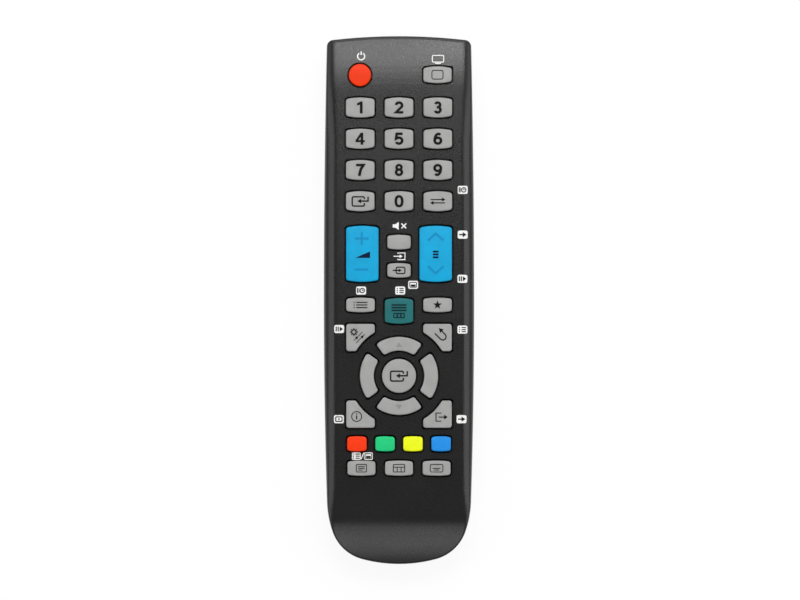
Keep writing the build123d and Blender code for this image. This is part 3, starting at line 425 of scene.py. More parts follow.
class Finishes:
    """All the finishes of the handset, each made once."""

    SILICONES = {
        "key_grey": ("key silicone grey", 163, 163, 162),
        "key_power": ("key silicone orange", 238, 54, 0),
        "key_sky": ("key silicone sky", 8, 164, 214),
        "key_teal": ("key silicone teal", 32, 108, 110),
        "key_red": ("key silicone red", 250, 56, 0),
        "key_green": ("key silicone green", 30, 204, 126),
        "key_yellow": ("key silicone yellow", 240, 252, 24),
        "key_blue": ("key silicone blue", 30, 144, 230),
    }
    INKS = {
        "ink_black": ("ink black", 14, 14, 15),
        "ink_white": ("ink white", 244, 244, 242),
        "ink_navy": ("ink navy", 4, 22, 56),
        "ink_sky": ("ink deep sky", 26, 138, 194),
        "ink_teal": ("ink deep teal", 6, 34, 38),
        "ink_grey": ("ink mid grey", 144, 144, 143),
    }
    WHITE_SPREAD = 0.03

    def __init__(self) -> None:
        """Write every material of the handset."""
        self.case = MouldedPlastic("case grain", tint(24, 24, 25), roughness=0.31).material()
        self.named = {}
        for finish, (name, *steps) in self.SILICONES.items():
            self.named[finish] = Silicone(name, tint(*steps)).material()
        # The keypad mat's grey is set much darker than its own grey rubber so that it shows black through the
        # gaps round the keys: painted shade.
        self.mat = Silicone("mat silicone", tint(62, 62, 64), 0.5).material()
        for finish, (name, *steps) in self.INKS.items():
            spread = self.WHITE_SPREAD if finish == "ink_white" else PrintInk.spread
            self.named[finish] = PrintInk(name, tint(*steps), spread).material()
        self.lens = Polished("infrared lens", (0.010, 0.004, 0.008, 1.0)).material()
        self.emitter = Polished("emitter resin", tint(150, 170, 205), 0.12).material()
        self.sleeve = Polished("capacitor sleeve", tint(24, 26, 40), 0.3).material()
        self.lacquer = Polished("resonator lacquer", tint(214, 120, 30), 0.25).material()
        self.epoxy = MouldedPlastic("chip epoxy", tint(32, 32, 34), 0.12, 0.006, 0.55, 0.25).material()
        self.ceramic = MouldedPlastic("chip ceramic", tint(150, 125, 98), 0.1, 0.004, 0.45, 0.15).material()
        # The board's brown is partly its own laminate colour and partly painted shade: it is set darker so
        # that it shows dark through the gaps round the keys.
        self.board = BoardLaminate("board laminate", tint(70, 56, 34)).material()
        self.nickel = PlatedMetal("nickel contact", tint(205, 200, 190)).material()
        self.zinc = PlatedMetal("zinc screw", tint(170, 172, 178), 0.34).material()


# Modelling bench


def deselect() -> None:
    """Leave nothing selected, in object mode."""
    if bpy.context.object and bpy.context.object.mode != "OBJECT":
        bpy.ops.object.mode_set(mode="OBJECT")
    bpy.ops.object.select_all(action="DESELECT")


def take(piece: Piece) -> None:
    """Select one piece alone and make it active."""
    deselect()
    piece.select_set(True)
    bpy.context.view_layer.objects.active = piece


def open_edit(piece: Piece, kind: str = "EDGE") -> bmesh.types.BMesh:
    """Open a piece in edit mode with nothing selected.

    Args:
        piece: The mesh object.
        kind: Selection mode: VERT, EDGE or FACE.

    Returns:
        Its edit mesh.
    """
    take(piece)
    bpy.ops.object.mode_set(mode="EDIT")
    bpy.ops.mesh.select_mode(type=kind)
    bpy.ops.mesh.select_all(action="DESELECT")
    return bmesh.from_edit_mesh(piece.data)


def close_edit(piece: Piece) -> Piece:
    """Turn every face outwards and go back to object mode."""
    bpy.ops.mesh.select_all(action="SELECT")
    bpy.ops.mesh.normals_make_consistent(inside=False)
    bpy.ops.object.mode_set(mode="OBJECT")
    return piece


def select_rim(piece: Piece) -> None:
    """Select the open rim of a piece in edit mode."""
    skin = bmesh.from_edit_mesh(piece.data)
    for edge in skin.edges:
        edge.select_set(edge.is_boundary)
    skin.select_flush_mode()
    bmesh.update_edit_mesh(piece.data)


def pull_rim(piece: Piece, move: Callable[[Vector], Place]) -> None:
    """Extrude the open rim of a piece that is in edit mode.

    Args:
        piece: The mesh object.
        move: Gives the new place of a rim point, in millimetres, from the old one in millimetres.
    """
    select_rim(piece)
    bpy.ops.mesh.extrude_edges_move()
    skin = bmesh.from_edit_mesh(piece.data)
    for vertex in skin.verts:
        if vertex.select:
            vertex.co = Vector(move(vertex.co / MM)) * MM
    bmesh.update_edit_mesh(piece.data)


def lift(piece: Piece, height: Callable[[float, float, float], float], selected: bool = False) -> None:
    """Give the points of a piece in edit mode new heights.

    Args:
        piece: The mesh object.
        height: Gives a point's new height from its place, all in millimetres.
        selected: True where only the selected points move.
    """
    skin = bmesh.from_edit_mesh(piece.data)
    for vertex in skin.verts:
        if vertex.select or not selected:
            vertex.co.z = height(*(vertex.co / MM)) * MM
    bmesh.update_edit_mesh(piece.data)


def step_rim(piece: Piece, old: Sequence[Place], new: Sequence[Place]) -> None:
    """Extrude the open rim of a piece in edit mode from one ring of points to the next.

    Args:
        piece: The mesh object.
        old: Places of the rim's points, in millimetres.
        new: Where each of them goes.
    """
    tree = KDTree(len(old))
    for index, place in enumerate(old):
        tree.insert(place, index)
    tree.balance()
    pull_rim(piece, lambda place: new[tree.find(place)[1]])


def cap_rim(piece: Piece) -> None:
    """Close the open rim of a piece in edit mode with one face, which stays selected."""
    select_rim(piece)
    bpy.ops.mesh.edge_face_add()


def score(at: float, axis: int) -> None:
    """Add an edge loop to the selected faces at a place in millimetres along X or Y, axis 0 or 1."""
    normal = (1.0, 0.0, 0.0) if axis == 0 else (0.0, 1.0, 0.0)
    bpy.ops.mesh.bisect(plane_co=(at * MM, at * MM, 0.0), plane_no=normal)


def score_all(places: Iterable[float], axis: int = 1) -> None:
    """Add edge loops all round the piece in edit mode at places along X or Y, axis 0 or 1."""
    bpy.ops.mesh.select_mode(type="FACE")
    for at in places:
        bpy.ops.mesh.select_all(action="SELECT")
        score(at, axis)


def call(piece: Piece, name: str) -> Piece:
    """Name a piece and its mesh."""
    piece.name = name
    piece.data.name = name
    return piece


def sheet_of(name: str, outline: Sequence[Place]) -> Piece:
    """Start a piece as one flat face and leave it in edit mode.

    Args:
        name: The piece's name.
        outline: Its corners in millimetres.

    Returns:
        The mesh object, in edit mode.
    """
    deselect()
    bpy.ops.mesh.primitive_circle_add(vertices=len(outline), radius=1.0, fill_type="NGON")
    piece = call(bpy.context.object, name)
    for vertex, place in zip(piece.data.vertices, outline):
        vertex.co = Vector(place) * MM
    open_edit(piece)
    return piece


def grid_of(name: str, columns: int, rows: int) -> Piece:
    """Start a piece as a flat grid of faces."""
    deselect()
    bpy.ops.mesh.primitive_grid_add(x_subdivisions=columns, y_subdivisions=rows, size=1)
    return call(bpy.context.object, name)


def skin_of(name: str, rings: Sequence[Sequence[Place]]) -> Piece:
    """Model a skin through rings of points and leave it in edit mode, with its last ring open."""
    piece = sheet_of(name, rings[0])
    for old, new in zip(rings, rings[1:]):
        step_rim(piece, old, new)
    return piece


def stack(name: str, rings: Sequence[Sequence[Place]]) -> Piece:
    """Model a closed skin through rings of points, capped at both ends.

    Args:
        name: The piece's name.
        rings: Rings with the same number of points, in millimetres.

    Returns:
        The mesh object.
    """
    piece = skin_of(name, rings)
    cap_rim(piece)
    return close_edit(piece)


def block(name: str, low: Place, high: Place, rounding: float = 0.0) -> Piece:
    """Model a box between two corners, with its upright edges rounded.

    Args:
        name: The piece's name.
        low: Lowest corner in millimetres.
        high: Highest corner.
        rounding: Radius of the upright edges.

    Returns:
        The mesh object.
    """
    deselect()
    middle = [(a + b) / 2 * MM for a, b in zip(low, high)]
    size = [(b - a) * MM for a, b in zip(low, high)]
    bpy.ops.mesh.primitive_cube_add(size=1, location=middle, scale=size)
    piece = settle(call(bpy.context.object, name))
    if rounding:
        skin = open_edit(piece)
        for edge in skin.edges:
            one, two = (vertex.co for vertex in edge.verts)
            edge.select_set(abs(one.z - two.z) > MM * 0.01)
        bmesh.update_edit_mesh(piece.data)
        bpy.ops.mesh.bevel(offset=rounding * MM, segments=5, affect="EDGES")
        close_edit(piece)
    return piece


def settle(piece: Piece) -> Piece:
    """Put a piece's place, turn and size into its mesh."""
    take(piece)
    bpy.ops.object.transform_apply(location=True, rotation=True, scale=True)
    return piece


def join(pieces: Sequence[Piece], name: str) -> Piece:
    """Make several pieces one object."""
    deselect()
    for piece in pieces:
        piece.select_set(True)
    bpy.context.view_layer.objects.active = pieces[0]
    if len(pieces) > 1:
        bpy.ops.object.join()
    return call(pieces[0], name)


def twin(piece: Piece, name: str, move: Place) -> Piece:
    """Copy a piece, with its own mesh, to another place.

    Args:
        piece: The mesh object.
        name: Name of the copy.
        move: How far it is moved, in millimetres.

    Returns:
        The copy.
    """
    take(piece)
    bpy.ops.object.duplicate(linked=False)
    copy = call(bpy.context.object, name)
    copy.location = Vector(move) * MM
    return settle(copy)


def carve(piece: Piece, tool: Piece, how: str = "DIFFERENCE") -> Piece:
    """Cut, join or keep what two pieces share, and drop the tool.

    Args:
        piece: The piece that is changed.
        tool: The piece it is worked with.
        how: DIFFERENCE, UNION or INTERSECT.

    Returns:
        The changed piece.
    """
    take(piece)
    cut = piece.modifiers.new("carve", "BOOLEAN")
    cut.operation = how
    cut.solver = "EXACT"
    cut.object = tool
    bpy.ops.object.modifier_apply(modifier=cut.name)
    bpy.data.objects.remove(tool)
    return piece


def soften(piece: Piece, width: float, angle: float) -> None:
    """Round a piece's sharp edges with a bevel that is applied.

    Args:
        piece: The mesh object.
        width: Bevel width in millimetres.
        angle: Edges sharper than this many degrees are rounded.
    """
    take(piece)
    bevel = piece.modifiers.new("soften", "BEVEL")
    bevel.width = width * MM
    bevel.segments = 2
    bevel.limit_method = "ANGLE"
    bevel.angle_limit = math.radians(angle)
    bpy.ops.object.modifier_apply(modifier=bevel.name)


def smooth(piece: Piece, angle: float, level: bool = False) -> None:
    """Shade a piece smooth, apart from edges sharper than an angle.

    Args:
        piece: The mesh object.
        angle: Edges sharper than this many degrees stay sharp.
        level: True where large faces keep their own normals beside small ones.
    """
    take(piece)
    bpy.ops.object.shade_smooth_by_angle(angle=math.radians(angle))
    if level:
        weighted = piece.modifiers.new("level", "WEIGHTED_NORMAL")
        weighted.keep_sharp = True
        weighted.weight = 80
        bpy.ops.object.modifier_apply(modifier=weighted.name)


def dress(
    piece: Piece, material: bpy.types.Material, body: str, slot: Optional[str] = None, *nodes: str
) -> Piece:
    """Give a piece its material, its body and the nodes that it stands for.

    Args:
        piece: The mesh object.
        material: Its finish.
        body: CAD body that it rides on.
        slot: Material slot of the record; not used.
        nodes: CAD nodes that it replaces.

    Returns:
        The piece.
    """
    piece.data.materials.clear()
    piece.data.materials.append(material)
    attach(piece, body)
    if nodes:
        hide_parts(*nodes)
    LOG.info("%s: %d faces, rides on %s", piece.name, len(piece.data.polygons), body)
    return piece


def blend_in(value: float, low: float, high: float) -> float:
    """Ease from 0 at low to 1 at high."""
    share = min(1.0, max(0.0, (value - low) / (high - low)))
    return share * share * (3 - 2 * share)


# Forms of the handset


def ease_past(value: float, width: float) -> float:
    """How far a value is past zero, eased in over a width on both sides of it.

    Args:
        value: The value.
        width: Half the length of the easing.

    Returns:
        Zero before, the value itself beyond, and a parabola between.
    """
    if abs(value) < width:
        return (value + width) ** 2 / (4 * width)
    return max(value, 0.0)


@dataclass
class PlanOutline:
    """Plan outline of the housing: arcs from the low end to the infrared end."""

    low_y: float = -88.1
    top_y: float = 88.1
    corner_y: float = 86.6
    corner_radius: float = 2.3
    arcs: tuple = ((47.2, 15.1, 10), (14.5, 55.7, 26), (33.9, 17.4, 10), (2100.0, 1.8, 16))
    top_side_radius: float = 3800.0
    top_side_steps: int = 30
    least_corner: float = 0.3
    corner_steps: int = 10
    end_steps: int = 12
    cut_points: int = 4
    cut_reach: float = 0.4
    rim: list = field(default_factory=list)

    def points(self, inset: float, corner_growth: float = 0.0) -> list[Point]:
        """Outline drawn in by an inset, anticlockwise from the middle of the low end.

        Args:
            inset: Distance inside the outline in millimetres.
            corner_growth: Added to the radius of the two corners at the infrared end.

        Returns:
            The points.
        """
        place = Vector((0.0, self.low_y + inset))
        heading = 0.0
        right = [place.copy()]
        for radius, angle, steps in self.arcs:
            place, heading = self._arc(right, place, heading, radius - inset, math.radians(angle), steps)
        radius = self.top_side_radius - inset
        length = self.corner_y - inset - place.y
        place, _ = self._arc(right, place, heading, radius, math.asin(length / radius), self.top_side_steps)
        reach = max(self.least_corner, self.corner_radius - inset) + corner_growth
        right = self._round_corner(right, place, inset, reach)
        left = [(-point.x, point.y) for point in reversed(right[1:-1])]
        return [(point.x, point.y) for point in right] + left

    @staticmethod
    def _arc(
        path: list[Vector], start: Vector, heading: float, radius: float, angle: float, steps: int
    ) -> tuple[Vector, float]:
        """Add an arc that turns left to a path.

        Args:
            path: Points so far, added to.
            start: Where the arc starts.
            heading: Direction there.
            radius: Its radius.
            angle: How far it turns.
            steps: Number of points added.

        Returns:
            Its end and the direction there.
        """
        centre = start + Vector((-math.sin(heading), math.cos(heading))) * radius
        for step in range(1, steps + 1):
            turn = heading + angle * step / steps
            path.append(centre + Vector((math.sin(turn), -math.cos(turn))) * radius)
        return path[-1].copy(), heading + angle

    def _round_corner(self, path: list[Vector], corner: Vector, inset: float, radius: float) -> list[Vector]:
        """Join the side and the arc of the infrared end with a rounded corner.

        Args:
            path: Points up the side, ending at the corner.
            corner: Where side and end would meet.
            inset: Inset of the outline.
            radius: Radius of the corner.

        Returns:
            The whole right half, ending in the middle of the end.
        """
        rise = self.top_y - inset - corner.y
        end_radius = (corner.x**2 + rise**2) / (2 * rise)
        lean = math.asin(corner.x / end_radius)
        down = (path[-self.cut_points - 2] - corner).normalized()
        along = Vector((-math.cos(lean), math.sin(lean)))
        opening = down.angle(along)
        reach = radius / math.tan(opening / 2)
        centre = corner + (down + along).normalized() * (radius / math.sin(opening / 2))
        keep = [point for point in path if point.y < corner.y - reach - self.cut_reach]
        first = corner + down * reach - centre
        last = corner + along * reach - centre
        start = math.atan2(first.y, first.x)
        turn = (math.atan2(last.y, last.x) - start) % (2 * math.pi)
        count = len(path) - self.cut_points
        while len(keep) < count:
            keep.append((keep[-1] + corner + down * reach) / 2)
        keep = keep[:count]
        for step in range(self.corner_steps + 1):
            angle = start + turn * step / self.corner_steps
            keep.append(centre + Vector((math.cos(angle), math.sin(angle))) * radius)
        top = corner.y + rise
        for step in range(1, self.end_steps + 1):
            angle = (lean - reach / end_radius) * (1 - step / self.end_steps)
            keep.append(Vector((end_radius * math.sin(angle), top - end_radius * (1 - math.cos(angle)))))
        return keep

    def moved(self, x: float, y: float, outward: float) -> Point:
        """Move a point near the outline outwards, along the outline's own normal.

        Args:
            x: Place across in millimetres.
            y: Place along.
            outward: Distance, negative inwards.

        Returns:
            The moved point.
        """
        if not self.rim:
            rim = [Vector(point) for point in self.points(0.0)]
            sides = [(rim[(i + 1) % len(rim)] - rim[i - 1]).normalized() for i in range(len(rim))]
            self.rim = [(point, Vector((side.y, -side.x))) for point, side in zip(rim, sides)]
        here = Vector((x, y))
        near = sorted(self.rim, key=lambda entry: (entry[0] - here).length_squared)[:2]
        spans = [max(1e-6, (point - here).length) for point, _ in near]
        normal = (near[0][1] / spans[0] + near[1][1] / spans[1]).normalized()
        return (x + normal.x * outward, y + normal.y * outward)


@dataclass
class FaceForm:
    """Heights of the key face: crown, nose, slope, side bands and the rounded rim."""

    crown_z: float = 20.6
    crown_y: float = -15.0
    crown_radius: float = 3000.0
    nose_y: float = 70.0
    nose_radius: float = 130.0
    flat_half_width: float = 21.0
    band_start: float = 16.0
    band_radius: float = 7.7
    slope_y: float = -73.0
    slope_start: float = 9.0
    slope_radius: float = 55.0
    side_rim: float = 0.7
    nose_rim: float = 0.9
    low_rim: float = 0.5
    nose_rim_from: Point = (82.5, 86.8)
    low_rim_from: Point = (70.0, 84.0)
    crease_fillet: float = 1.0
    slope_fillet: float = 1.8
    nose_fade: Point = (50.0, 78.0)
    nose_fade_share: float = 0.85
    low_fade: Point = (58.0, 76.0)
    low_fade_share: float = 0.9
    steepest: float = 0.95

    def face(self, y: float) -> float:
        """Height of the middle of the face at a place along the handset."""
        past_nose = max(y - self.nose_y, 0.0)
        past_crease = ease_past(self.slope_y - y, self.slope_fillet)
        along = min(max(y, self.slope_y), self.nose_y) - self.crown_y
        crown = self.crown_z - self.crown_radius + math.sqrt(self.crown_radius**2 - along**2)
        lean = math.asin((self.nose_y - self.crown_y) / self.crown_radius)
        nose = past_nose * math.tan(lean) + self.nose_radius - math.sqrt(self.nose_radius**2 - past_nose**2)
        start = math.radians(self.slope_start)
        steep = math.asin(math.sin(start) + past_crease / self.slope_radius)
        return crown - nose - self.slope_radius * (math.cos(start) - math.cos(steep))

    def band(self, x: float, y: float) -> float:
        """Drop of the soft side band outside the flat of the face; its crease fades towards both ends."""
        out = ease_past(abs(x) - self.flat_half_width, self.crease_fillet)
        kept = 1 - self.nose_fade_share * blend_in(y, *self.nose_fade)
        kept -= self.low_fade_share * blend_in(-y, *self.low_fade)
        start = math.radians(self.band_start * kept)
        lean = math.asin(min(self.steepest, math.sin(start) + out / self.band_radius))
        return self.band_radius * (math.cos(start) - math.cos(lean))

    def rim(self, y: float, inset: float) -> float:
        """Drop of the rounded rim at an inset from the outline."""
        radius = self.side_rim + (self.nose_rim - self.side_rim) * blend_in(y, *self.nose_rim_from)
        radius += (self.low_rim - self.side_rim) * blend_in(-y, *self.low_rim_from)
        return radius - math.sqrt(radius**2 - (radius - inset) ** 2) if inset < radius else 0.0

    def surface(self, x: float, y: float, inset: float = 99.0) -> float:
        """Height of the outer surface."""
        return self.face(y) - self.band(x, y) - self.rim(y, inset)


@dataclass
class HullForm:
    """Heights and insets of the underside: a rounded hull that rises towards the infrared end."""

    parting_z: float = 10.5
    hull_inset: float = 6.0
    rise_y: float = 20.0
    rise_radius: float = 600.0
    corner_growth: float = 3.0
    levels: int = 14
    top_z: float = 10.48
    top_inset: float = 0.1
    stations: tuple = (16, 20, 24, 30, 36, 42, 48, 54, 60, 66, 72, 77, 81)

    def rise(self, y: float) -> float:
        """Height of the underside along the middle."""
        past = max(y - self.rise_y, 0.0)
        return self.rise_radius - math.sqrt(self.rise_radius**2 - past**2)

    def level(self, share: float) -> tuple[float, float]:
        """Inset and height of the hull at a share of its quarter turn."""
        angle = math.pi / 2 * share
        return self.hull_inset * (1 - math.sin(angle)), self.parting_z * (1 - math.cos(angle))

    def solid(
        self,
        name: str,
        plan: PlanOutline,
        inset: float = 0.0,
        floor: float = 0.0,
        top: Optional[float] = None,
    ) -> Piece:
        """Model the hull as a closed solid.

        Args:
            name: The piece's name.
            plan: Plan outline.
            inset: Inset of the sides.
            floor: Height added to the floor.
            top: Height of its flat top, or None for a chamfered top just under the parting line.

        Returns:
            The mesh object.
        """
        rings = []
        for level_inset, z in (self.level(step / self.levels) for step in range(self.levels + 1)):
            growth = self.corner_growth * level_inset / self.hull_inset
            rings.append([(x, y, z) for x, y in plan.points(inset + level_inset, growth)])
        piece = skin_of(name, rings)
        score_all(self.stations)
        scale = (self.parting_z - floor) / self.parting_z

        def raised(x: float, y: float, z: float) -> float:
            """Height of a point once the underside rises towards the infrared end."""
            low = self.rise(y)
            return floor + scale * (low + z * (self.parting_z - low) / self.parting_z)

        lift(piece, raised)
        if top is None:
            pull_rim(piece, lambda p: (*plan.moved(p.x, p.y, -self.top_inset), self.top_z))
        else:
            pull_rim(piece, lambda p: (p.x, p.y, top))
        cap_rim(piece)
        return close_edit(piece)


class Cap(Enum):
    """Outline kinds of the keys."""

    PAD = "pad"
    ROUND = "round"
    ARC = "arc"
    CORNER = "corner"


@dataclass
class Key:
    """One key: its place, its outline and its finish."""

    name: str
    kind: Cap
    x: float
    y: float
    size: Point
    finish: str = "key_grey"
    turn: float = 0.0
    mirrored: bool = False
    corner: float = 0.95
    bow: float = 0.6
    dome: float = 0.12
    edge: float = 0.42

    PROUD = 1.3
    LEAST_CORNER = 0.25
    PAD_CORNER_SHARE = 0.8
    RING_CORNER_SHARE = 0.6
    OPEN_BEND = 140.0
    ROUND_STEPS = 8
    BOW_STEPS = 16
    RING_Y = -25.2
    RING_OUTER = 13.0
    RING_MIDDLE = 10.7
    RING_INNER = 8.4
    RING_LEAN = 36.0
    RING_STEPS = 24
    CIRCLE_SIDES = 72
    CORNER_X = 12.8
    CORNER_Y = 12.75
    CORNER_HALF = (4.75, 4.55)
    CORNER_HOLLOW = 16.5
    CORNER_STEPS = 16
    CORNER_PILL = 14.25

    def outline(self, grow: float) -> list[Point]:
        """Finely drawn outline in the key's own place.

        Args:
            grow: Distance that it is grown by, negative inwards.

        Returns:
            Its points, anticlockwise.
        """
        if self.kind is Cap.PAD:
            points = self._pad(grow)
        elif self.kind is Cap.ROUND:
            radius = self.size[0] + grow
            turns = [2 * math.pi * i / self.CIRCLE_SIDES for i in range(self.CIRCLE_SIDES)]
            points = [(radius * math.cos(turn), radius * math.sin(turn)) for turn in turns]
        else:
            corners = self._arc_corners(grow) if self.kind is Cap.ARC else self._corner_corners(grow)
            points = self._rounded(corners, self.corner + min(0.0, grow) * self.RING_CORNER_SHARE)
        if self.mirrored:
            points = [(-x, y) for x, y in reversed(points)]
        cos, sin = math.cos(math.radians(self.turn)), math.sin(math.radians(self.turn))
        return [(self.x + cos * x - sin * y, self.y + sin * x + cos * y) for x, y in points]

    def _pad(self, grow: float) -> list[Point]:
        """Bowed outline with rounded corners, about the key's centre."""
        half_width = self.size[0] / 2 + grow
        half_height = self.size[1] / 2 + grow
        places = [half_width * (1 - 2 * i / self.BOW_STEPS) for i in range(self.BOW_STEPS + 1)]
        top = [(x, half_height - self.bow * (x / half_width) ** 2) for x in places]
        corners = top + [(-x, -y) for x, y in top]
        return self._rounded(corners, max(self.LEAST_CORNER, self.corner + grow * self.PAD_CORNER_SHARE))

    def _arc_corners(self, grow: float) -> list[Point]:
        """Corners and arcs of a ring key on the +Y side, about the ring's centre."""
        points = []
        for radius, side in ((self.RING_OUTER + grow, 1), (self.RING_INNER - grow, -1)):
            for i in range(self.RING_STEPS + 1):
                lean = math.radians(self.RING_LEAN) + grow / radius
                angle = side * lean * (1 - 2 * i / self.RING_STEPS)
                points.append((radius * math.sin(angle), radius * math.cos(angle)))
        return points

    def _corner_corners(self, grow: float) -> list[Point]:
        """Corners and the hollow arc of a corner key up and to the right, about the ring's centre."""
        reach_x, reach_y = (half + grow for half in self.CORNER_HALF)
        low_x, high_x = self.CORNER_X - reach_x, self.CORNER_X + reach_x
        low_y, high_y = self.CORNER_Y - reach_y, self.CORNER_Y + reach_y
        radius = self.CORNER_HOLLOW - grow
        first = math.atan2(math.sqrt(radius**2 - low_x**2), low_x)
        last = math.atan2(low_y, math.sqrt(radius**2 - low_y**2))
        points = [(high_x, low_y), (high_x, high_y), (low_x, high_y)]
        for i in range(self.CORNER_STEPS + 1):
            angle = first + (last - first) * i / self.CORNER_STEPS
            points.append((radius * math.cos(angle), radius * math.sin(angle)))
        return points

    @staticmethod
    def _rounded(corners: Sequence[Point], radius: float) -> list[Point]:
        """Round the sharp corners of an outline, with the same number of points at every radius.

        Args:
            corners: Points of the outline, anticlockwise.
            radius: Radius of the rounded corners.

        Returns:
            The rounded outline.
        """
        count = len(corners)
        path = [Vector(corner) for corner in corners]
        openings = [(path[i - 1] - path[i]).angle(path[(i + 1) % count] - path[i]) for i in range(count)]
        sharp = [i for i in range(count) if math.degrees(openings[i]) < Key.OPEN_BEND]
        runs = []
        for i, j in zip(sharp, sharp[1:] + sharp[:1]):
            run = [path[k % count] for k in range(i, i + (j - i) % count + 1)]
            cuts = [radius / math.tan(openings[k] / 2) for k in (i, j)]
            runs.append(Key._trimmed(run, *cuts))
        points: list[Point] = []
        for number, run in enumerate(runs):
            points += [tuple(point) for point in run]
            ahead = runs[(number + 1) % len(runs)]
            turn = math.pi - openings[sharp[(number + 1) % len(sharp)]]
            handle = radius * math.tan(turn / 4) * 4 / 3
            one = run[-1] + (run[-1] - run[-2]).normalized() * handle
            two = ahead[0] + (ahead[0] - ahead[1]).normalized() * handle
            for step in range(1, Key.ROUND_STEPS):
                t = step / Key.ROUND_STEPS
                u = 1 - t
                middle = one * (3 * u * u * t) + two * (3 * u * t * t)
                points.append(tuple(run[-1] * u**3 + middle + ahead[0] * t**3))
        return points

    @staticmethod
    def _trimmed(run: Sequence[Vector], first: float, last: float) -> list[Vector]:
        """Shorten a path at both ends and space its points evenly.

        Args:
            run: The path.
            first: Length cut off its start.
            last: Length cut off its end.

        Returns:
            The shorter path.
        """
        lengths = [0.0]
        for one, two in zip(run, run[1:]):
            lengths.append(lengths[-1] + (two - one).length)
        steps = max(4, len(run) - 1)
        places = [first + (lengths[-1] - first - last) * i / steps for i in range(steps + 1)]
        points = []
        for place in places:
            index = max(1, min(len(run) - 1, sum(length < place for length in lengths)))
            share = (place - lengths[index - 1]) / (lengths[index] - lengths[index - 1])
            points.append(run[index - 1].lerp(run[index], share))
        return points

    def top(self, face: FaceForm) -> float:
        """Height of the middle of the key's top."""
        return face.face(self.pill()[1]) + self.PROUD

    def pill(self) -> Point:
        """Place that the key is pressed at."""
        if self.kind is Cap.ARC:
            turn = math.radians(self.turn)
            return (self.x - self.RING_MIDDLE * math.sin(turn), self.y + self.RING_MIDDLE * math.cos(turn))
        if self.kind is Cap.CORNER:
            side = -1 if self.turn else 1
            return (self.x, self.y + side * self.CORNER_PILL)
        return (self.x, self.y)

    def crown(self, x: float, y: float, face: FaceForm) -> float:
        """Height of the key's domed top at a place."""
        if self.kind in (Cap.ARC, Cap.CORNER):
            return self.top(face)
        part = 1 if self.kind is Cap.ROUND else 2
        across = ((x - self.x) * part / self.size[0]) ** 2
        along = ((y - self.y) * part / self.size[1]) ** 2
        return self.top(face) - self.dome * (across + along) / 2

    def form(self) -> tuple:
        """What two keys share where one is a copy of the other."""
        sizes = (self.size, self.turn, self.mirrored, self.corner, self.bow, self.dome, self.edge)
        return (self.kind, *sizes)


def key_list() -> list[Key]:
    """Every key of the handset, in its place."""
    keys = [
        Key("key_power", Cap.ROUND, -13.0, 74.9, (3.72, 3.72), "key_power", dome=0.3),
        Key("key_tv", Cap.PAD, 12.8, 75.0, (9.4, 5.6)),
    ]
    rows = (("1", "2", "3"), ("4", "5", "6"), ("7", "8", "9"), ("enter", "0", "previous"))
    for row, names in enumerate(rows):
        for x, name in zip((-12.9, 0.0, 12.9), names):
            keys.append(Key(f"key_{name}", Cap.PAD, x, 64.1 - 10.4 * row, (9.5, 6.7)))
    keys += [
        Key("rocker_volume", Cap.PAD, -12.2, 15.4, (10.8, 18.7), "key_sky", dome=0.3),
        Key("rocker_programme", Cap.PAD, 12.2, 15.4, (10.8, 18.7), "key_sky", dome=0.3),
        Key("key_mute", Cap.PAD, 0.0, 19.3, (7.8, 4.9), bow=0.4),
        Key("key_source", Cap.PAD, 0.0, 9.9, (7.8, 4.9), bow=0.4),
        Key("key_channel_list", Cap.PAD, -12.8, -1.6, (9.5, 4.9), bow=0.42),
        Key("key_menu", Cap.PAD, 0.0, -3.6, (9.5, 8.6), "key_teal"),
        Key("key_favourites", Cap.PAD, 12.8, -1.6, (9.5, 4.9), bow=0.42),
        Key("key_ok", Cap.ROUND, 0.0, Key.RING_Y, (5.66, 5.66), dome=0.2),
    ]
    for name, turn in (("up", 0.0), ("left", 90.0), ("down", 180.0), ("right", 270.0)):
        keys.append(Key(f"key_{name}", Cap.ARC, 0.0, Key.RING_Y, (0.0, 0.0), turn=turn))
    corners = (("tools", 0.0, True), ("return", 0.0, False), ("info", 180.0, False), ("exit", 180.0, True))
    for name, turn, mirrored in corners:
        keys.append(Key(f"key_{name}", Cap.CORNER, 0.0, Key.RING_Y, (0.0, 0.0), turn=turn, mirrored=mirrored))
    for x, name in zip((-14.0, -4.65, 4.65, 14.0), ("red", "green", "yellow", "blue")):
        keys.append(Key(f"key_{name}", Cap.PAD, x, -47.8, (6.5, 5.05), f"key_{name}", bow=0.3, dome=0.2))
    for x, name in zip((-12.5, 0.0, 12.5), ("teletext", "guide", "subtitle")):
        keys.append(Key(f"key_{name}", Cap.PAD, x, -55.9, (9.3, 5.05), bow=0.34))
    return keys


# Mouldings and keys


@dataclass
class Moulding:
    """What the mouldings of the housing share: outline, heights, wall and finish."""

    plan: PlanOutline
    face: FaceForm
    hull: HullForm
    finishes: Finishes
    wall: float = 1.8
    hollow_top_z: float = 12.5
    window_opening: tuple = ((-13.0, 80.0, 6.5), (13.0, 92.0, 13.6))
    door_top_y: float = -24.2

    def hollow(self) -> Piece:
        """The space inside the hull's walls."""
        return self.hull.solid("hollow", self.plan, self.wall, self.wall, self.hollow_top_z)

    def finish(self, piece: Piece, node: str, body: str, width: float, angle: float) -> None:
        """Round, smooth and dress a moulding.

        Args:
            piece: The mesh object.
            node: Its CAD node.
            body: CAD body that it rides on.
            width: Width of its rounded edges in millimetres.
            angle: Edges sharper than this many degrees are rounded.
        """
        soften(piece, width, angle)
        smooth(piece, 30.0, True)
        dress(piece, self.finishes.case, body, "case_plastic", node)


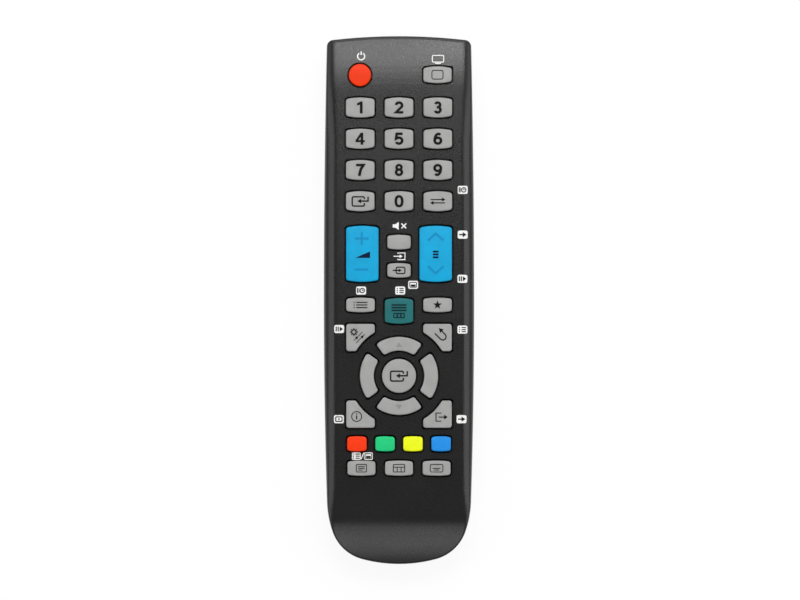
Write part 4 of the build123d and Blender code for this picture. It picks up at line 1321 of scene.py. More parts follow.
@dataclass
class FrontCover(Moulding):
    """The key face, with its side bands, its sloped lower end and an opening for every key."""

    keys: Sequence[Key] = ()
    face_wall: float = 1.7
    gap: float = 0.54
    draft: float = 0.15
    chamfer: float = 0.14
    parting_gap: float = 0.02
    cove: float = 2.6
    cove_shares: Point = (0.9, 0.985)
    cutter_z: Point = (12.0, 24.0)
    crease_steps: tuple = (-1.0, -0.5, 0.0, 0.5, 1.0, 1.6, 2.4)

    CONTOUR = (
        6.0, 5.0, 4.0, 3.2, 2.6, 2.1, 1.7, 1.35, 1.05, 0.8, 0.6, 0.42, 0.28, 0.16, 0.07, 0.02, 0.0,
    )
    STATIONS = (
        -85, -82, -79, -77, -75.4, -74.4, -73.6, -72.8, -72, -71.2, -70.4, -69, -65,
        *range(-55, 56, 10), 62, *range(68, 84, 2), 83.5, 85,
    )

    def build(self) -> None:
        """Raise a contour map to its heights, hollow it and cut its openings."""
        rings = [[(x, y, -inset) for x, y in self.plan.points(inset + self.draft)] for inset in self.CONTOUR]
        cover = skin_of("front_cover_shell", rings)
        half = self.face.flat_half_width
        score_all([side * (half + step) for step in self.crease_steps for side in (-1, 1)], 0)
        score_all(self.STATIONS)
        lift(cover, lambda x, y, coded: self.face.surface(x, y, -coded))
        self._turn_inwards(cover)
        openings = [self._opening(key) for key in self.keys]
        carve(cover, join(openings, "openings"))
        carve(cover, block("window_box", *self.window_opening))
        self.finish(cover, "front_cover", "housing", 0.1, 62.0)

    def _turn_inwards(self, cover: Piece) -> None:
        """Lead the skin down to the parting line, round the wall's edge and back under the face."""
        moved = self.plan.moved
        parting = self.hull.parting_z
        low = parting + self.parting_gap
        wide, long = self.cove_shares

        def ceiling(y: float) -> float:
            """Height of the inner face."""
            return self.face.face(y) - self.face_wall

        pull_rim(cover, lambda p: (*moved(p.x, p.y, self.draft), parting + self.chamfer))
        pull_rim(cover, lambda p: (*moved(p.x, p.y, -self.chamfer), low))
        pull_rim(cover, lambda p: (*moved(p.x, p.y, self.chamfer - self.wall), low))
        pull_rim(cover, lambda p: (p.x, p.y, ceiling(p.y) - self.cove))
        pull_rim(cover, lambda p: (p.x * wide, p.y * long, ceiling(p.y * long)))
        cap_rim(cover)
        bpy.ops.mesh.select_mode(type="FACE")
        for y in self.STATIONS[::2]:
            score(y, 1)
        lift(cover, lambda x, y, z: ceiling(y), selected=True)
        close_edit(cover)

    def _opening(self, key: Key) -> Piece:
        """Prism of a key's opening."""
        ring = key.outline(self.gap)
        return stack("opening", [[(x, y, z) for x, y in ring] for z in self.cutter_z])


@dataclass
class RearCover(Moulding):
    """The underside, hollowed, with the battery bay and the door's space let into it."""

    bay_half_width: float = 14.2
    bay_y: Point = (-78.4, -26.6)
    bay_z: Point = (0.85, 13.0)
    bay_wall: float = 1.4
    bay_block_z: Point = (0.9, 14.2)
    space_low_y: float = -110.0
    space_z: Point = (-2.0, 3.0)
    rail_z: Point = (1.95, 3.05)
    rail_reach: float = 0.8
    rib_places: tuple = (-40.0, -53.0, -66.0)
    rib_low: Point = (11.0, 4.9)
    rib_half: float = 0.5
    rib_rounding: float = 0.3
    rib_bite: Point = (0.3, 0.2)

    def build(self) -> None:
        """Hollow the hull, let in the bay and the door, and add the ribs beside the cells."""
        cover = self.hull.solid("rear_cover_shell", self.plan)
        carve(cover, self.hollow())
        carve(cover, self._bay_box(self.bay_wall, self.bay_block_z), "UNION")
        carve(cover, self._bay_box(0.0, self.bay_z))
        wide = self.bay_half_width
        for half, (low_z, high_z) in ((wide, self.space_z), (wide + self.rail_reach, self.rail_z)):
            carve(cover, block("space", (-half, self.space_low_y, low_z), (half, self.door_top_y, high_z)))
        carve(cover, join(self._ribs(), "ribs"), "UNION")
        carve(cover, block("window_box", *self.window_opening))
        self.finish(cover, "rear_cover", "housing", 0.12, 55.0)

    def _bay_box(self, grow: float, span_z: Point) -> Piece:
        """Box of the battery bay grown by a wall, between two heights."""
        wide = self.bay_half_width + grow
        low_y, high_y = self.bay_y
        return block("bay", (-wide, low_y - grow, span_z[0]), (wide, high_y + grow, span_z[1]))

    def _ribs(self) -> list[Piece]:
        """The ribs that narrow the bay beside the cells."""
        ribs = []
        near_x, low_z = self.rib_low
        far_x, high_z = self.bay_half_width + self.rib_bite[0], self.bay_z[1] + self.rib_bite[1]
        for y in self.rib_places:
            for side in (-1, 1):
                low_x, high_x = sorted((side * near_x, side * far_x))
                low = (low_x, y - self.rib_half, low_z)
                ribs.append(block("rib", low, (high_x, y + self.rib_half, high_z), self.rib_rounding))
        return ribs


@dataclass
class BatteryDoor(Moulding):
    """The sliding door: a slice of the hull with its rails, tongue and finger grooves."""

    inset: float = 0.12
    gap: float = 0.2
    slice_half_width: float = 14.0
    slice_low_y: float = -95.0
    slice_z: Point = (-1.0, 2.8)
    rails: tuple = (("web", 12.95, 13.98, 1.6), ("rail", 13.2, 14.78, 2.12))
    rail_low_y: float = -80.0
    rail_gap: float = 0.1
    rail_top_z: float = 2.84
    tongue_half: float = 2.5
    tongue_back: float = 2.0
    tongues: tuple = (("tongue_root", -0.2, (1.5, 2.7), 0.0), ("tongue", 1.6, (1.95, 2.65), 0.5))
    groove_y: float = -36.0
    groove_pitch: float = 1.9
    groove_half: Point = (7.5, 0.45)
    groove_z: Point = (-1.0, 0.72)
    groove_rounding: float = 0.42

    def build(self) -> None:
        """Cut the slice out of the hull and add what it slides and is held by."""
        door = self.hull.solid("battery_door_slice", self.plan, self.inset, self.gap)
        carve(door, self.hollow())
        top = self.door_top_y - self.gap
        low = (-self.slice_half_width, self.slice_low_y, self.slice_z[0])
        carve(door, block("slice", low, (self.slice_half_width, top, self.slice_z[1])), "INTERSECT")
        for fitting in self._fittings(top):
            carve(door, fitting, "UNION")
        half, reach = self.groove_half
        grooves = []
        for y in (self.groove_y + self.groove_pitch * i for i in (-2, -1, 0, 1, 2)):
            low = (-half, y - reach, self.groove_z[0])
            grooves.append(block("groove", low, (half, y + reach, self.groove_z[1]), self.groove_rounding))
        carve(door, join(grooves, "grooves"))
        self.finish(door, "battery_door", "battery_door", 0.12, 50.0)

    def _fittings(self, top: float) -> list[Piece]:
        """The rails with their webs, and the tongue with its root, under the door's top edge."""
        fittings = []
        for side in (-1, 1):
            for name, near, far, low_z in self.rails:
                low_x, high_x = sorted((side * near, side * far))
                high = (high_x, top - self.rail_gap, self.rail_top_z)
                fittings.append(block(name, (low_x, self.rail_low_y, low_z), high))
        half = self.tongue_half
        for name, reach, (low_z, high_z), rounding in self.tongues:
            low = (-half, top - self.tongue_back, low_z)
            fittings.append(block(name, low, (half, top + reach, high_z), rounding))
        return fittings


@dataclass
class InfraredWindow(Moulding):
    """The dark lens that follows the rounded end wall."""

    cells: tuple = (40, 14)
    size: Point = (25.8, 6.9)
    middle_z: float = 10.05
    station_y: float = 86.0
    thickness: float = 2.4
    set_back: float = 0.12
    end_half_width: float = 24.0
    end_draft: float = 0.3 / 11.1

    def build(self) -> None:
        """Bend a sheet to the end wall and thicken it."""
        lens = grid_of("infrared_window_lens", *self.cells)
        rise = self.plan.top_y - self.plan.corner_y
        end_radius = (self.end_half_width**2 + rise**2) / (2 * rise)
        for vertex in lens.data.vertices:
            x = vertex.co.x * self.size[0]
            z = self.middle_z + vertex.co.y * self.size[1]
            bulge = end_radius - math.sqrt(end_radius**2 - x**2)
            vertex.co = Vector((x, self.plan.top_y - bulge - self._inset(z) - self.set_back, z)) * MM
        take(lens)
        thick = lens.modifiers.new("thick", "SOLIDIFY")
        thick.thickness = self.thickness * MM
        thick.offset = -1.0 if lens.data.polygons[0].normal.y > 0 else 1.0
        bpy.ops.object.modifier_apply(modifier=thick.name)
        open_edit(lens)
        close_edit(lens)
        soften(lens, 0.12, 50.0)
        smooth(lens, 30.0)
        dress(lens, self.finishes.lens, "housing", "window_plastic", "ir_window")

    def _inset(self, z: float) -> float:
        """How far the end wall lies inside the outline at a height."""
        parting, low = self.hull.parting_z, self.hull.rise(self.station_y)
        if z >= parting:
            return (z - parting) * self.end_draft
        share = max(0.0, (z - low) / (parting - low))
        return self.hull.hull_inset * (1 - math.sqrt(1 - (1 - share) ** 2))


@dataclass
class Keypad:
    """The rubber keys, each riding on its own body."""

    keys: Sequence[Key]
    face: FaceForm
    finishes: Finishes
    slots: dict
    foot: float = 3.4
    dome_shares: tuple = (0.3, 0.55, 0.78)
    edge_shares: tuple = (1.0, 0.82, 0.64, 0.48, 0.34, 0.22, 0.12, 0.05, 0.015, 0.0)

    def build(self) -> None:
        """Model the keys, those of one form as copies of the first, then smooth and dress them."""
        models = {}
        caps = []
        for key in self.keys:
            model, cap = models.get(key.form(), (key, None))
            if cap is None:
                caps.append(self._cap(key))
                models[key.form()] = (key, caps[-1])
            else:
                move = (key.x - model.x, key.y - model.y, key.top(self.face) - model.top(self.face))
                caps.append(twin(cap, f"{key.name}_cap", move))
        for key, cap in zip(self.keys, caps):
            smooth(cap, 50.0)
            dress(cap, self.finishes.named[key.finish], key.name, self.slots[key.name], key.name)

    def _cap(self, key: Key) -> Piece:
        """Model one key: a domed top, a rounded edge and walls that go down into the housing."""
        rings = []
        if key.kind in (Cap.PAD, Cap.ROUND):
            inner = key.outline(-key.edge)
            for share in self.dome_shares:
                ring = [(key.x + (x - key.x) * share, key.y + (y - key.y) * share) for x, y in inner]
                rings.append([(x, y, key.crown(x, y, self.face)) for x, y in ring])
        for inset in (key.edge * share for share in self.edge_shares):
            drop = key.edge - math.sqrt(key.edge**2 - (key.edge - inset) ** 2)
            rings.append([(x, y, key.crown(x, y, self.face) - drop) for x, y in key.outline(-inset)])
        foot = key.top(self.face) - self.foot
        rings.append([(x, y, foot) for x, y in key.outline(0.0)])
        return stack(f"{key.name}_cap", rings)


# Printed signs


def arc(
    x: float, y: float, radius: float, start: float, end: float, steps: int, tall: float = 1.0
) -> list[Point]:
    """Points of an arc.

    Args:
        x: Its centre across.
        y: Its centre along.
        radius: Its radius.
        start: Angle that it starts at, in degrees.
        end: Angle that it ends at.
        steps: Number of its parts.
        tall: Height against width, for an oval arc.

    Returns:
        The points.
    """
    turns = [math.radians(start + (end - start) * i / steps) for i in range(steps + 1)]
    return [(x + radius * math.cos(turn), y + tall * radius * math.sin(turn)) for turn in turns]


def rounded_box(width: float, height: float, radius: float, x: float, y: float) -> list[Point]:
    """Points of a box with rounded corners.

    Args:
        width: Its width.
        height: Its height.
        radius: Radius of its corners.
        x: Its centre across.
        y: Its centre along.

    Returns:
        The points, anticlockwise.
    """
    across, along = width / 2 - radius, height / 2 - radius
    points = []
    for side_x, side_y, start in ((1, 1, 0), (-1, 1, 90), (-1, -1, 180), (1, -1, 270)):
        points += arc(x + side_x * across, y + side_y * along, radius, start, start + 90, 4)
    return points


def soft_oval(width: float, height: float, sides: int = 40) -> list[Point]:
    """Points of an oval with slightly squared shoulders.

    Args:
        width: Half its width.
        height: Half its height.
        sides: Number of points.

    Returns:
        The points, anticlockwise.
    """
    points = []
    for turn in (2 * math.pi * i / sides for i in range(sides)):
        across, along = math.cos(turn), math.sin(turn)
        x = math.copysign(abs(across) ** 0.8, across)
        points.append((width * x, height * math.copysign(abs(along) ** 0.9, along)))
    return points


def star_points(outer: float, inner: float) -> list[Point]:
    """Points of a five-pointed star, anticlockwise."""
    turns = enumerate((outer, inner) * 5)
    return [(r * math.sin(math.pi * i / 5), r * math.cos(math.pi * i / 5)) for i, r in turns][::-1]


@dataclass(frozen=True)
class Stroke:
    """A line of one width through points, or a filled outline where its width is zero."""

    points: Sequence[Point]
    width: float
    closed: bool = False

    SHARPEST = 0.45

    def draw(self) -> Piece:
        """Draw it flat at height zero, in millimetres."""
        if not self.width:
            return close_edit(sheet_of("stroke", [(x, y, 0.0) for x, y in self.points]))
        points = [Vector(point) for point in self.points]
        if self.closed:
            points.append(points[0])
        last = len(points) - 1
        piece = grid_of("stroke", last, 1)
        for i, point in enumerate(points):
            before = points[i - 1] if i else (points[last - 1] if self.closed else point)
            after = points[i + 1] if i < last else (points[1] if self.closed else point)
            into = (point - before).normalized() if before != point else (after - point).normalized()
            out = (after - point).normalized() if after != point else into
            along = (into + out).normalized()
            reach = self.width / 2 / max(self.SHARPEST, along.dot(out))
            side = Vector((-along.y, along.x)) * reach
            for row, place in ((0, point - side), (1, point + side)):
                piece.data.vertices[row * (last + 1) + i].co = (place.x * MM, place.y * MM, 0.0)
        return piece


def line(*points: Point, width: float) -> Stroke:
    """An open line through points."""
    return Stroke(points, width)


def loop(points: Sequence[Point], width: float) -> Stroke:
    """A closed line round an outline."""
    return Stroke(points, width, True)


def fill(*points: Point) -> Stroke:
    """A filled outline."""
    return Stroke(points, 0.0)


def solid_box(width: float, height: float, radius: float, x: float = 0.0, y: float = 0.0) -> Stroke:
    """A filled box with rounded corners."""
    return fill(*rounded_box(width, height, radius, x, y))


def open_box(
    width: float, height: float, radius: float, weight: float, x: float = 0.0, y: float = 0.0
) -> Stroke:
    """A line round a box with rounded corners."""
    return loop(rounded_box(width, height, radius, x, y), weight)


def circle(radius: float, weight: float, x: float = 0.0, y: float = 0.0) -> Stroke:
    """A line round a circle."""
    return loop(arc(x, y, radius, 0, 345, 23), weight)


def level_line(y: float, reach: float, weight: float) -> Stroke:
    """A level line that reaches as far to both sides."""
    return line((-reach, y), (reach, y), width=weight)


def upright(x: float, low: float, high: float, weight: float) -> Stroke:
    """An upright line."""
    return line((x, low), (x, high), width=weight)


def spokes(near: float, far: float, weight: float, count: int = 8) -> list[Stroke]:
    """Short lines that point away from the centre, between two distances from it."""
    turns = [2 * math.pi * i / count for i in range(count)]
    return [line(*[(r * math.cos(t), r * math.sin(t)) for r in (near, far)], width=weight) for t in turns]


def list_rows(count: int, width: float, pitch: float, weight: float) -> tuple[Stroke, ...]:
    """Rows of a list, each with a dot before it.

    Args:
        count: Number of rows.
        width: Length of a row.
        pitch: Distance from row to row.
        weight: Thickness of a row.

    Returns:
        The strokes.
    """
    rows = []
    for row in range(count):
        y = ((count - 1) / 2 - row) * pitch
        rows.append(line((-width / 2 + 0.9, y), (width / 2, y), width=weight))
        rows.append(line((-width / 2, y), (-width / 2 + weight, y), width=weight))
    return tuple(rows)


class Sign(Enum):
    """Generic pictograms, drawn in millimetres about their own centre."""

    STANDBY = (Stroke(arc(0, -0.1, 1.25, 122, 418, 22), 0.42), upright(0, 0.35, 1.6, 0.44))
    SCREEN = (open_box(4.2, 2.5, 0.4, 0.36, y=0.3), level_line(-1.4, 1.1, 0.36))
    SPEAKER_OFF = (
        fill((-2.4, -0.55), (-1.5, -0.55), (-0.4, -1.35), (-0.4, 1.35), (-1.5, 0.55), (-2.4, 0.55)),
        line((0.5, -0.8), (2.1, 0.8), width=0.4),
        line((0.5, 0.8), (2.1, -0.8), width=0.4),
    )
    INPUT = (
        Stroke([(-0.6, 1.0), (-0.6, 1.35), (2.3, 1.35), (2.3, -1.35), (-0.6, -1.35), (-0.6, -1.0)], 0.36),
        line((-2.4, 0.0), (0.3, 0.0), width=0.4),
        fill((1.3, 0.0), (0.1, 0.8), (0.1, -0.8)),
    )
    INPUT_KEY = (
        open_box(2.9, 2.1, 0.5, 0.4, x=0.5),
        line((-2.1, 0.0), (0.1, 0.0), width=0.42),
        fill((0.9, 0.0), (-0.1, 0.62), (-0.1, -0.62)),
    )
    SQUARE = (open_box(3.7, 2.9, 0.6, 0.3),)
    RETURN_ARROW = (
        Stroke(
            [
                (1.45, 0.75),
                *arc(0.95, 1.05, 0.5, 0, 90, 4),
                *arc(-2.3, 1.05, 0.5, 90, 180, 4),
                *arc(-2.3, -1.2, 0.5, 180, 270, 4),
                *arc(0.95, -1.2, 0.5, 270, 360, 4),
                (1.45, -0.65),
            ],
            0.5,
        ),
        line((2.75, 1.6), (2.75, 0.05), (0.2, 0.05), width=0.52),
        fill((-1.0, 0.05), (0.3, -0.8), (0.3, 0.9)),
    )
    SWAP = (
        line((-2.4, 0.55), (1.5, 0.55), width=0.36),
        fill((2.6, 0.55), (1.4, 1.2), (1.4, -0.1)),
        line((2.4, -0.55), (-1.5, -0.55), width=0.36),
        fill((-2.6, -0.55), (-1.4, -1.2), (-1.4, 0.1)),
    )
    LIST = list_rows(3, 4.6, 0.85, 0.36)
    STAR = (fill(*star_points(1.55, 0.66)),)
    MENU = (
        *(level_line(y, 2.5, 0.52) for y in (2.0, 1.1, 0.2)),
        *(open_box(1.1, 1.4, 0.15, 0.36, x, -1.5) for x in (-1.2, 0.0, 1.2)),
    )
    GEAR = (circle(0.85, 0.42), *spokes(0.95, 1.5, 0.5))
    SLIDERS = (
        level_line(0.6, 2.3, 0.26),
        level_line(-0.6, 2.3, 0.26),
        solid_box(0.7, 0.95, 0.15, -0.8, 0.6),
        solid_box(0.7, 0.95, 0.15, 0.9, -0.6),
    )
    BACK = (
        Stroke([(-1.6, -0.95), *arc(0.7, 0.0, 0.95, -90, 90, 10), (-0.7, 0.95)], 0.36),
        fill((-1.9, 0.95), (-0.6, 1.7), (-0.6, 0.2)),
    )
    ABOUT = (circle(1.65, 0.32), upright(0, -0.95, 0.3, 0.42), upright(0, 0.65, 1.05, 0.42))
    LEAVE = (
        Stroke([(0.2, 1.35), (-1.6, 1.35), (-1.6, -1.35), (0.2, -1.35)], 0.34),
        line((-0.7, 0.0), (1.3, 0.0), width=0.36),
        fill((2.3, 0.0), (1.1, 0.8), (1.1, -0.8)),
    )
    TRIANGLE = (fill((0.0, 0.85), (-1.1, -0.75), (1.1, -0.75)),)
    PLUS = (level_line(0, 2.3, 0.7), upright(0, -2.1, 2.1, 0.66))
    MINUS = (level_line(0, 2.3, 0.7),)
    WEDGE = (fill((-2.5, -1.05), (2.45, -1.05), (2.45, 1.1)),)
    CHEVRON = (line((-2.6, -1.2), (0, 1.2), (2.6, -1.2), width=0.72),)
    STACKED = tuple(solid_box(1.9, 0.62, 0.15, y=y) for y in (0.95, 0.0, -0.95))
    PAGE = (
        open_box(3.4, 2.5, 0.3, 0.28),
        level_line(0.5, 1.1, 0.28),
        level_line(-0.05, 1.1, 0.28),
        line((-1.1, -0.6), (0.4, -0.6), width=0.28),
    )
    TABLE = (
        open_box(3.8, 2.5, 0.3, 0.28),
        level_line(0.35, 1.75, 0.26),
        upright(-0.6, 0.22, -1.1, 0.26),
        upright(0.7, 0.22, -1.1, 0.26),
    )
    CAPTION = (open_box(4.2, 2.5, 0.45, 0.28), level_line(-0.05, 1.3, 0.3), level_line(-0.6, 0.8, 0.3))
    PLATE = (solid_box(3.3, 2.7, 0.55),)
    SMALL_PLATE = (solid_box(2.9, 2.5, 0.45),)
    SLASH = (line((-0.55, -1.25), (0.55, 1.25), width=0.34),)
    TINY_ROWS = list_rows(3, 2.3, 0.68, 0.36)
    TINY_BOX = (open_box(2.1, 1.5, 0.15, 0.34), level_line(0, 0.25, 0.5))
    TINY_CLOCK = (
        loop(arc(0.35, 0, 0.74, 0, 330, 11), 0.34),
        line((0.35, 0.4), (0.35, 0.0), (0.7, 0.0), width=0.28),
        upright(-1.15, -0.85, 0.85, 0.38),
        upright(-0.7, -0.85, 0.85, 0.2),
    )
    TINY_ARROW = (line((-1.15, 0), (0.1, 0), width=0.42), fill((1.25, 0.0), (0.0, 0.85), (0.0, -0.85)))
    TINY_HALF = (open_box(2.2, 1.6, 0.15, 0.3), fill((-0.8, -0.6), (0.8, -0.6), (0.8, 0.1), (-0.8, 0.1)))
    TINY_BARS = (
        upright(-1.0, -0.8, 0.8, 0.38),
        upright(-0.35, -0.8, 0.8, 0.38),
        fill((0.15, -0.85), (1.25, 0.0), (0.15, 0.85)),
    )


class Digit(Enum):
    """Plain bold numerals, 4 mm tall, about their own centre."""

    N0 = (loop(soft_oval(0.98, 1.62), 0.86),)
    N1 = (
        fill((-0.1, -2.0), (0.74, -2.0), (0.74, 2.0), (0.14, 2.0), (-0.1, 1.75)),
        fill((-1.02, 1.4), (-1.02, 0.66), (-0.1, 0.9), (-0.1, 1.75), (0.14, 2.0)),
    )
    N2 = (Stroke([*arc(0.0, 0.68, 0.96, 172, -28, 14), (-0.95, -1.62), (1.35, -1.62)], 0.86),)
    N3 = (
        Stroke([*arc(-0.05, 0.87, 0.77, 160, -90, 15), (-0.36, 0.1)], 0.84),
        Stroke([(-0.36, 0.1), *arc(-0.05, -0.78, 0.88, 90, -160, 16)], 0.84),
    )
    N4 = (
        fill((0.12, -2.0), (0.95, -2.0), (0.95, 2.0), (0.12, 2.0)),
        fill((-1.45, -1.16), (1.42, -1.16), (1.42, -0.48), (-1.45, -0.48)),
        fill((-1.45, -0.5), (-0.6, -0.5), (0.95, 2.0), (0.12, 2.0)),
    )
    N5 = (Stroke([(1.15, 1.64), (-0.7, 1.64), (-0.92, 0.0), *arc(-0.02, -0.64, 1.0, 118, -155, 16)], 0.85),)
    N6 = (
        circle(0.98, 0.85, 0.02, -0.64),
        Stroke(arc(0.2, -0.56, 1.16, 58, 180, 12, tall=1.88), 0.85),
    )
    N7 = (Stroke([(-1.3, 1.64), (1.0, 1.64), (0.15, 0.2), (-0.3, -2.0)], 0.86),)
    N8 = (circle(0.77, 0.8, 0.0, 0.87), circle(0.9, 0.84, 0.0, -0.74))
    N9 = (
        circle(0.98, 0.85, -0.02, 0.64),
        Stroke(arc(-0.2, 0.56, 1.16, 238, 360, 12, tall=1.88), 0.85),
    )


@dataclass(frozen=True)
class Print:
    """One printed sign: where it is, how large, how turned, and in which ink."""

    LAYER = 0.004

    sign: Enum
    x: float
    y: float
    ink: str = "ink_black"
    size: float = 1.0
    turn: float = 0.0
    widen: float = 1.0

    def draw(self) -> Piece:
        """Draw it flat in its place."""
        layers = [stroke.draw() for stroke in self.sign.value]
        for index, layer in enumerate(layers):
            layer.location.z = index * self.LAYER * MM
            settle(layer)
        piece = join(layers, "print")
        piece.scale = (self.size * self.widen, self.size, 1.0)
        piece.rotation_euler = (0.0, 0.0, math.radians(self.turn))
        piece.location = (self.x * MM, self.y * MM, 0.0)
        return settle(piece)


@dataclass
class Legends:
    """Everything printed on the keys and on the face."""

    keys: Sequence[Key]
    face: FaceForm
    finishes: Finishes
    proud: float = 0.035
    over_plate: float = 0.02
    weld: float = 0.001
    depth: float = 0.22
    digit_widen: float = 1.07
    small_plates_below: float = -50.0

    KEY_PRINTS = {
        "key_tv": (Print(Sign.SQUARE, 12.8, 75.0),),
        "key_enter": (Print(Sign.RETURN_ARROW, -12.9, 32.9, size=0.95),),
        "key_previous": (Print(Sign.SWAP, 12.9, 32.9),),
        "key_source": (Print(Sign.INPUT_KEY, 0.0, 9.9),),
        "key_channel_list": (Print(Sign.LIST, -12.8, -1.6),),
        "key_favourites": (Print(Sign.STAR, 12.8, -1.6),),
        "key_menu": (Print(Sign.MENU, 0.0, -3.6, "ink_teal"),),
        "key_tools": (
            Print(Sign.GEAR, -15.0, -10.6, size=0.85),
            Print(Sign.SLIDERS, -13.2, -12.4, turn=45, size=0.9),
        ),
        "key_return": (Print(Sign.BACK, 14.0, -11.6, turn=-45, size=1.15),),
        "key_info": (Print(Sign.ABOUT, -14.1, -38.7),),
        "key_exit": (Print(Sign.LEAVE, 13.9, -38.9, size=1.0),),
        "key_ok": (Print(Sign.RETURN_ARROW, 0.0, -25.2),),
        "key_up": (Print(Sign.TRIANGLE, 0.0, -14.9, "ink_grey"),),
        "key_down": (Print(Sign.TRIANGLE, 0.0, -35.5, "ink_grey", turn=180),),
        "key_teletext": (Print(Sign.PAGE, -12.5, -55.9),),
        "key_guide": (Print(Sign.TABLE, 0.0, -55.9),),
        "key_subtitle": (Print(Sign.CAPTION, 12.5, -55.9),),
        "rocker_volume": (
            Print(Sign.PLUS, -12.4, 20.5, "ink_sky"),
            Print(Sign.WEDGE, -12.1, 15.1, "ink_navy"),
            Print(Sign.MINUS, -12.5, 10.2, "ink_sky"),
        ),
        "rocker_programme": (
            Print(Sign.CHEVRON, 12.2, 21.0, "ink_sky"),
            Print(Sign.STACKED, 12.2, 15.2, "ink_navy"),
            Print(Sign.CHEVRON, 12.2, 10.1, "ink_sky", turn=180),
        ),
    }
    FACE_PRINTS = (
        Print(Sign.STANDBY, -12.6, 81.3, "ink_white", 0.95),
        Print(Sign.SCREEN, 13.0, 80.1, "ink_white", 0.9),
        Print(Sign.SPEAKER_OFF, 0.3, 24.7, "ink_white", 1.0),
        Print(Sign.INPUT, 0.1, 14.6, "ink_white", 0.82),
        Print(Sign.SLASH, -12.2, -51.9, "ink_white", 0.9),
    )
    PLATES = (
        (Sign.TINY_CLOCK, 21.2, 36.7),
        (Sign.TINY_ARROW, 21.2, 21.8),
        (Sign.TINY_BARS, 21.1, 7.1),
        (Sign.TINY_CLOCK, -12.6, 3.2),
        (Sign.TINY_ROWS, 0.4, 3.2),
        (Sign.TINY_HALF, 4.7, 5.1),
        (Sign.TINY_BARS, -19.9, -9.6),
        (Sign.TINY_ROWS, 21.1, -9.8),
        (Sign.TINY_BOX, -20.0, -39.6),
        (Sign.TINY_ARROW, 20.8, -39.6),
        (Sign.TINY_ROWS, -14.2, -51.9),
        (Sign.TINY_HALF, -10.2, -51.9),
    )

    def build(self) -> None:
        """Print every key, then the face, then the plates and what is on them."""
        for key in self.keys:
            prints = self.KEY_PRINTS.get(key.name, ())
            digit = key.name.removeprefix("key_")
            if digit.isdigit():
                prints = (Print(Digit["N" + digit], key.x, key.y, widen=self.digit_widen),)
            for ink in sorted({entry.ink for entry in prints}):
                inked = [entry for entry in prints if entry.ink == ink]
                self._lay(f"{key.name}_{ink}", inked, lambda x, y: key.crown(x, y, self.face), key.name)
        surface = self.face.surface
        self._lay("face_signs", self.FACE_PRINTS, surface, "housing")
        plates = []
        marks = []
        for sign, x, y in self.PLATES:
            plate = Sign.SMALL_PLATE if y < self.small_plates_below else Sign.PLATE
            plates.append(Print(plate, x, y, "ink_white"))
            marks.append(Print(sign, x, y))
        self._lay("face_plates", plates, surface, "housing")
        self._lay("face_plate_signs", marks, lambda x, y: surface(x, y) + self.over_plate, "housing")

    def _lay(
        self, name: str, prints: Sequence[Print], height: Callable[[float, float], float], body: str
    ) -> None:
        """Lay prints of one ink on a surface as a thin film.

        Args:
            name: Name of the piece.
            prints: What is printed.
            height: Height of the surface at a place.
            body: Body that the surface is on.
        """
        film = join([entry.draw() for entry in prints], name)
        open_edit(film, "FACE")
        bpy.ops.mesh.select_all(action="SELECT")
        bpy.ops.mesh.remove_doubles(threshold=self.weld * MM)
        for axis in (0, 1):
            places = [vertex.co[axis] / MM for vertex in bmesh.from_edit_mesh(film.data).verts]
            score_all(range(math.ceil(min(places)), math.floor(max(places)) + 1), axis)
        lift(film, lambda x, y, z: z + height(x, y) + self.proud)
        bpy.ops.mesh.select_all(action="SELECT")
        bpy.ops.mesh.extrude_region_move(TRANSFORM_OT_translate={"value": (0.0, 0.0, -self.depth * MM)})
        close_edit(film)
        dress(film, self.finishes.named[prints[0].ink], body)


# Battery bay, inner pieces and studio


def lathe(name: str, profile: Sequence[Point], centre: Place, along: str = "Y", sides: int = 64) -> Piece:
    """Turn a closed skin round an axis.

    Args:
        name: The piece's name.
        profile: Radius and distance along the axis, from end to end, in millimetres.
        centre: Where the distance is zero.
        along: Axis, Y or Z.
        sides: Number of sides.

    Returns:
        The mesh object.
    """
    rings = []
    for radius, reach in profile:
        ring = []
        for i in range(sides):
            turn = 2 * math.pi * i / sides
            one, two = radius * math.cos(turn), radius * math.sin(turn)
            place = (one, reach, two) if along == "Y" else (one, two, reach)
            ring.append(tuple(a + b for a, b in zip(centre, place)))
        rings.append(ring)
    return stack(name, rings)


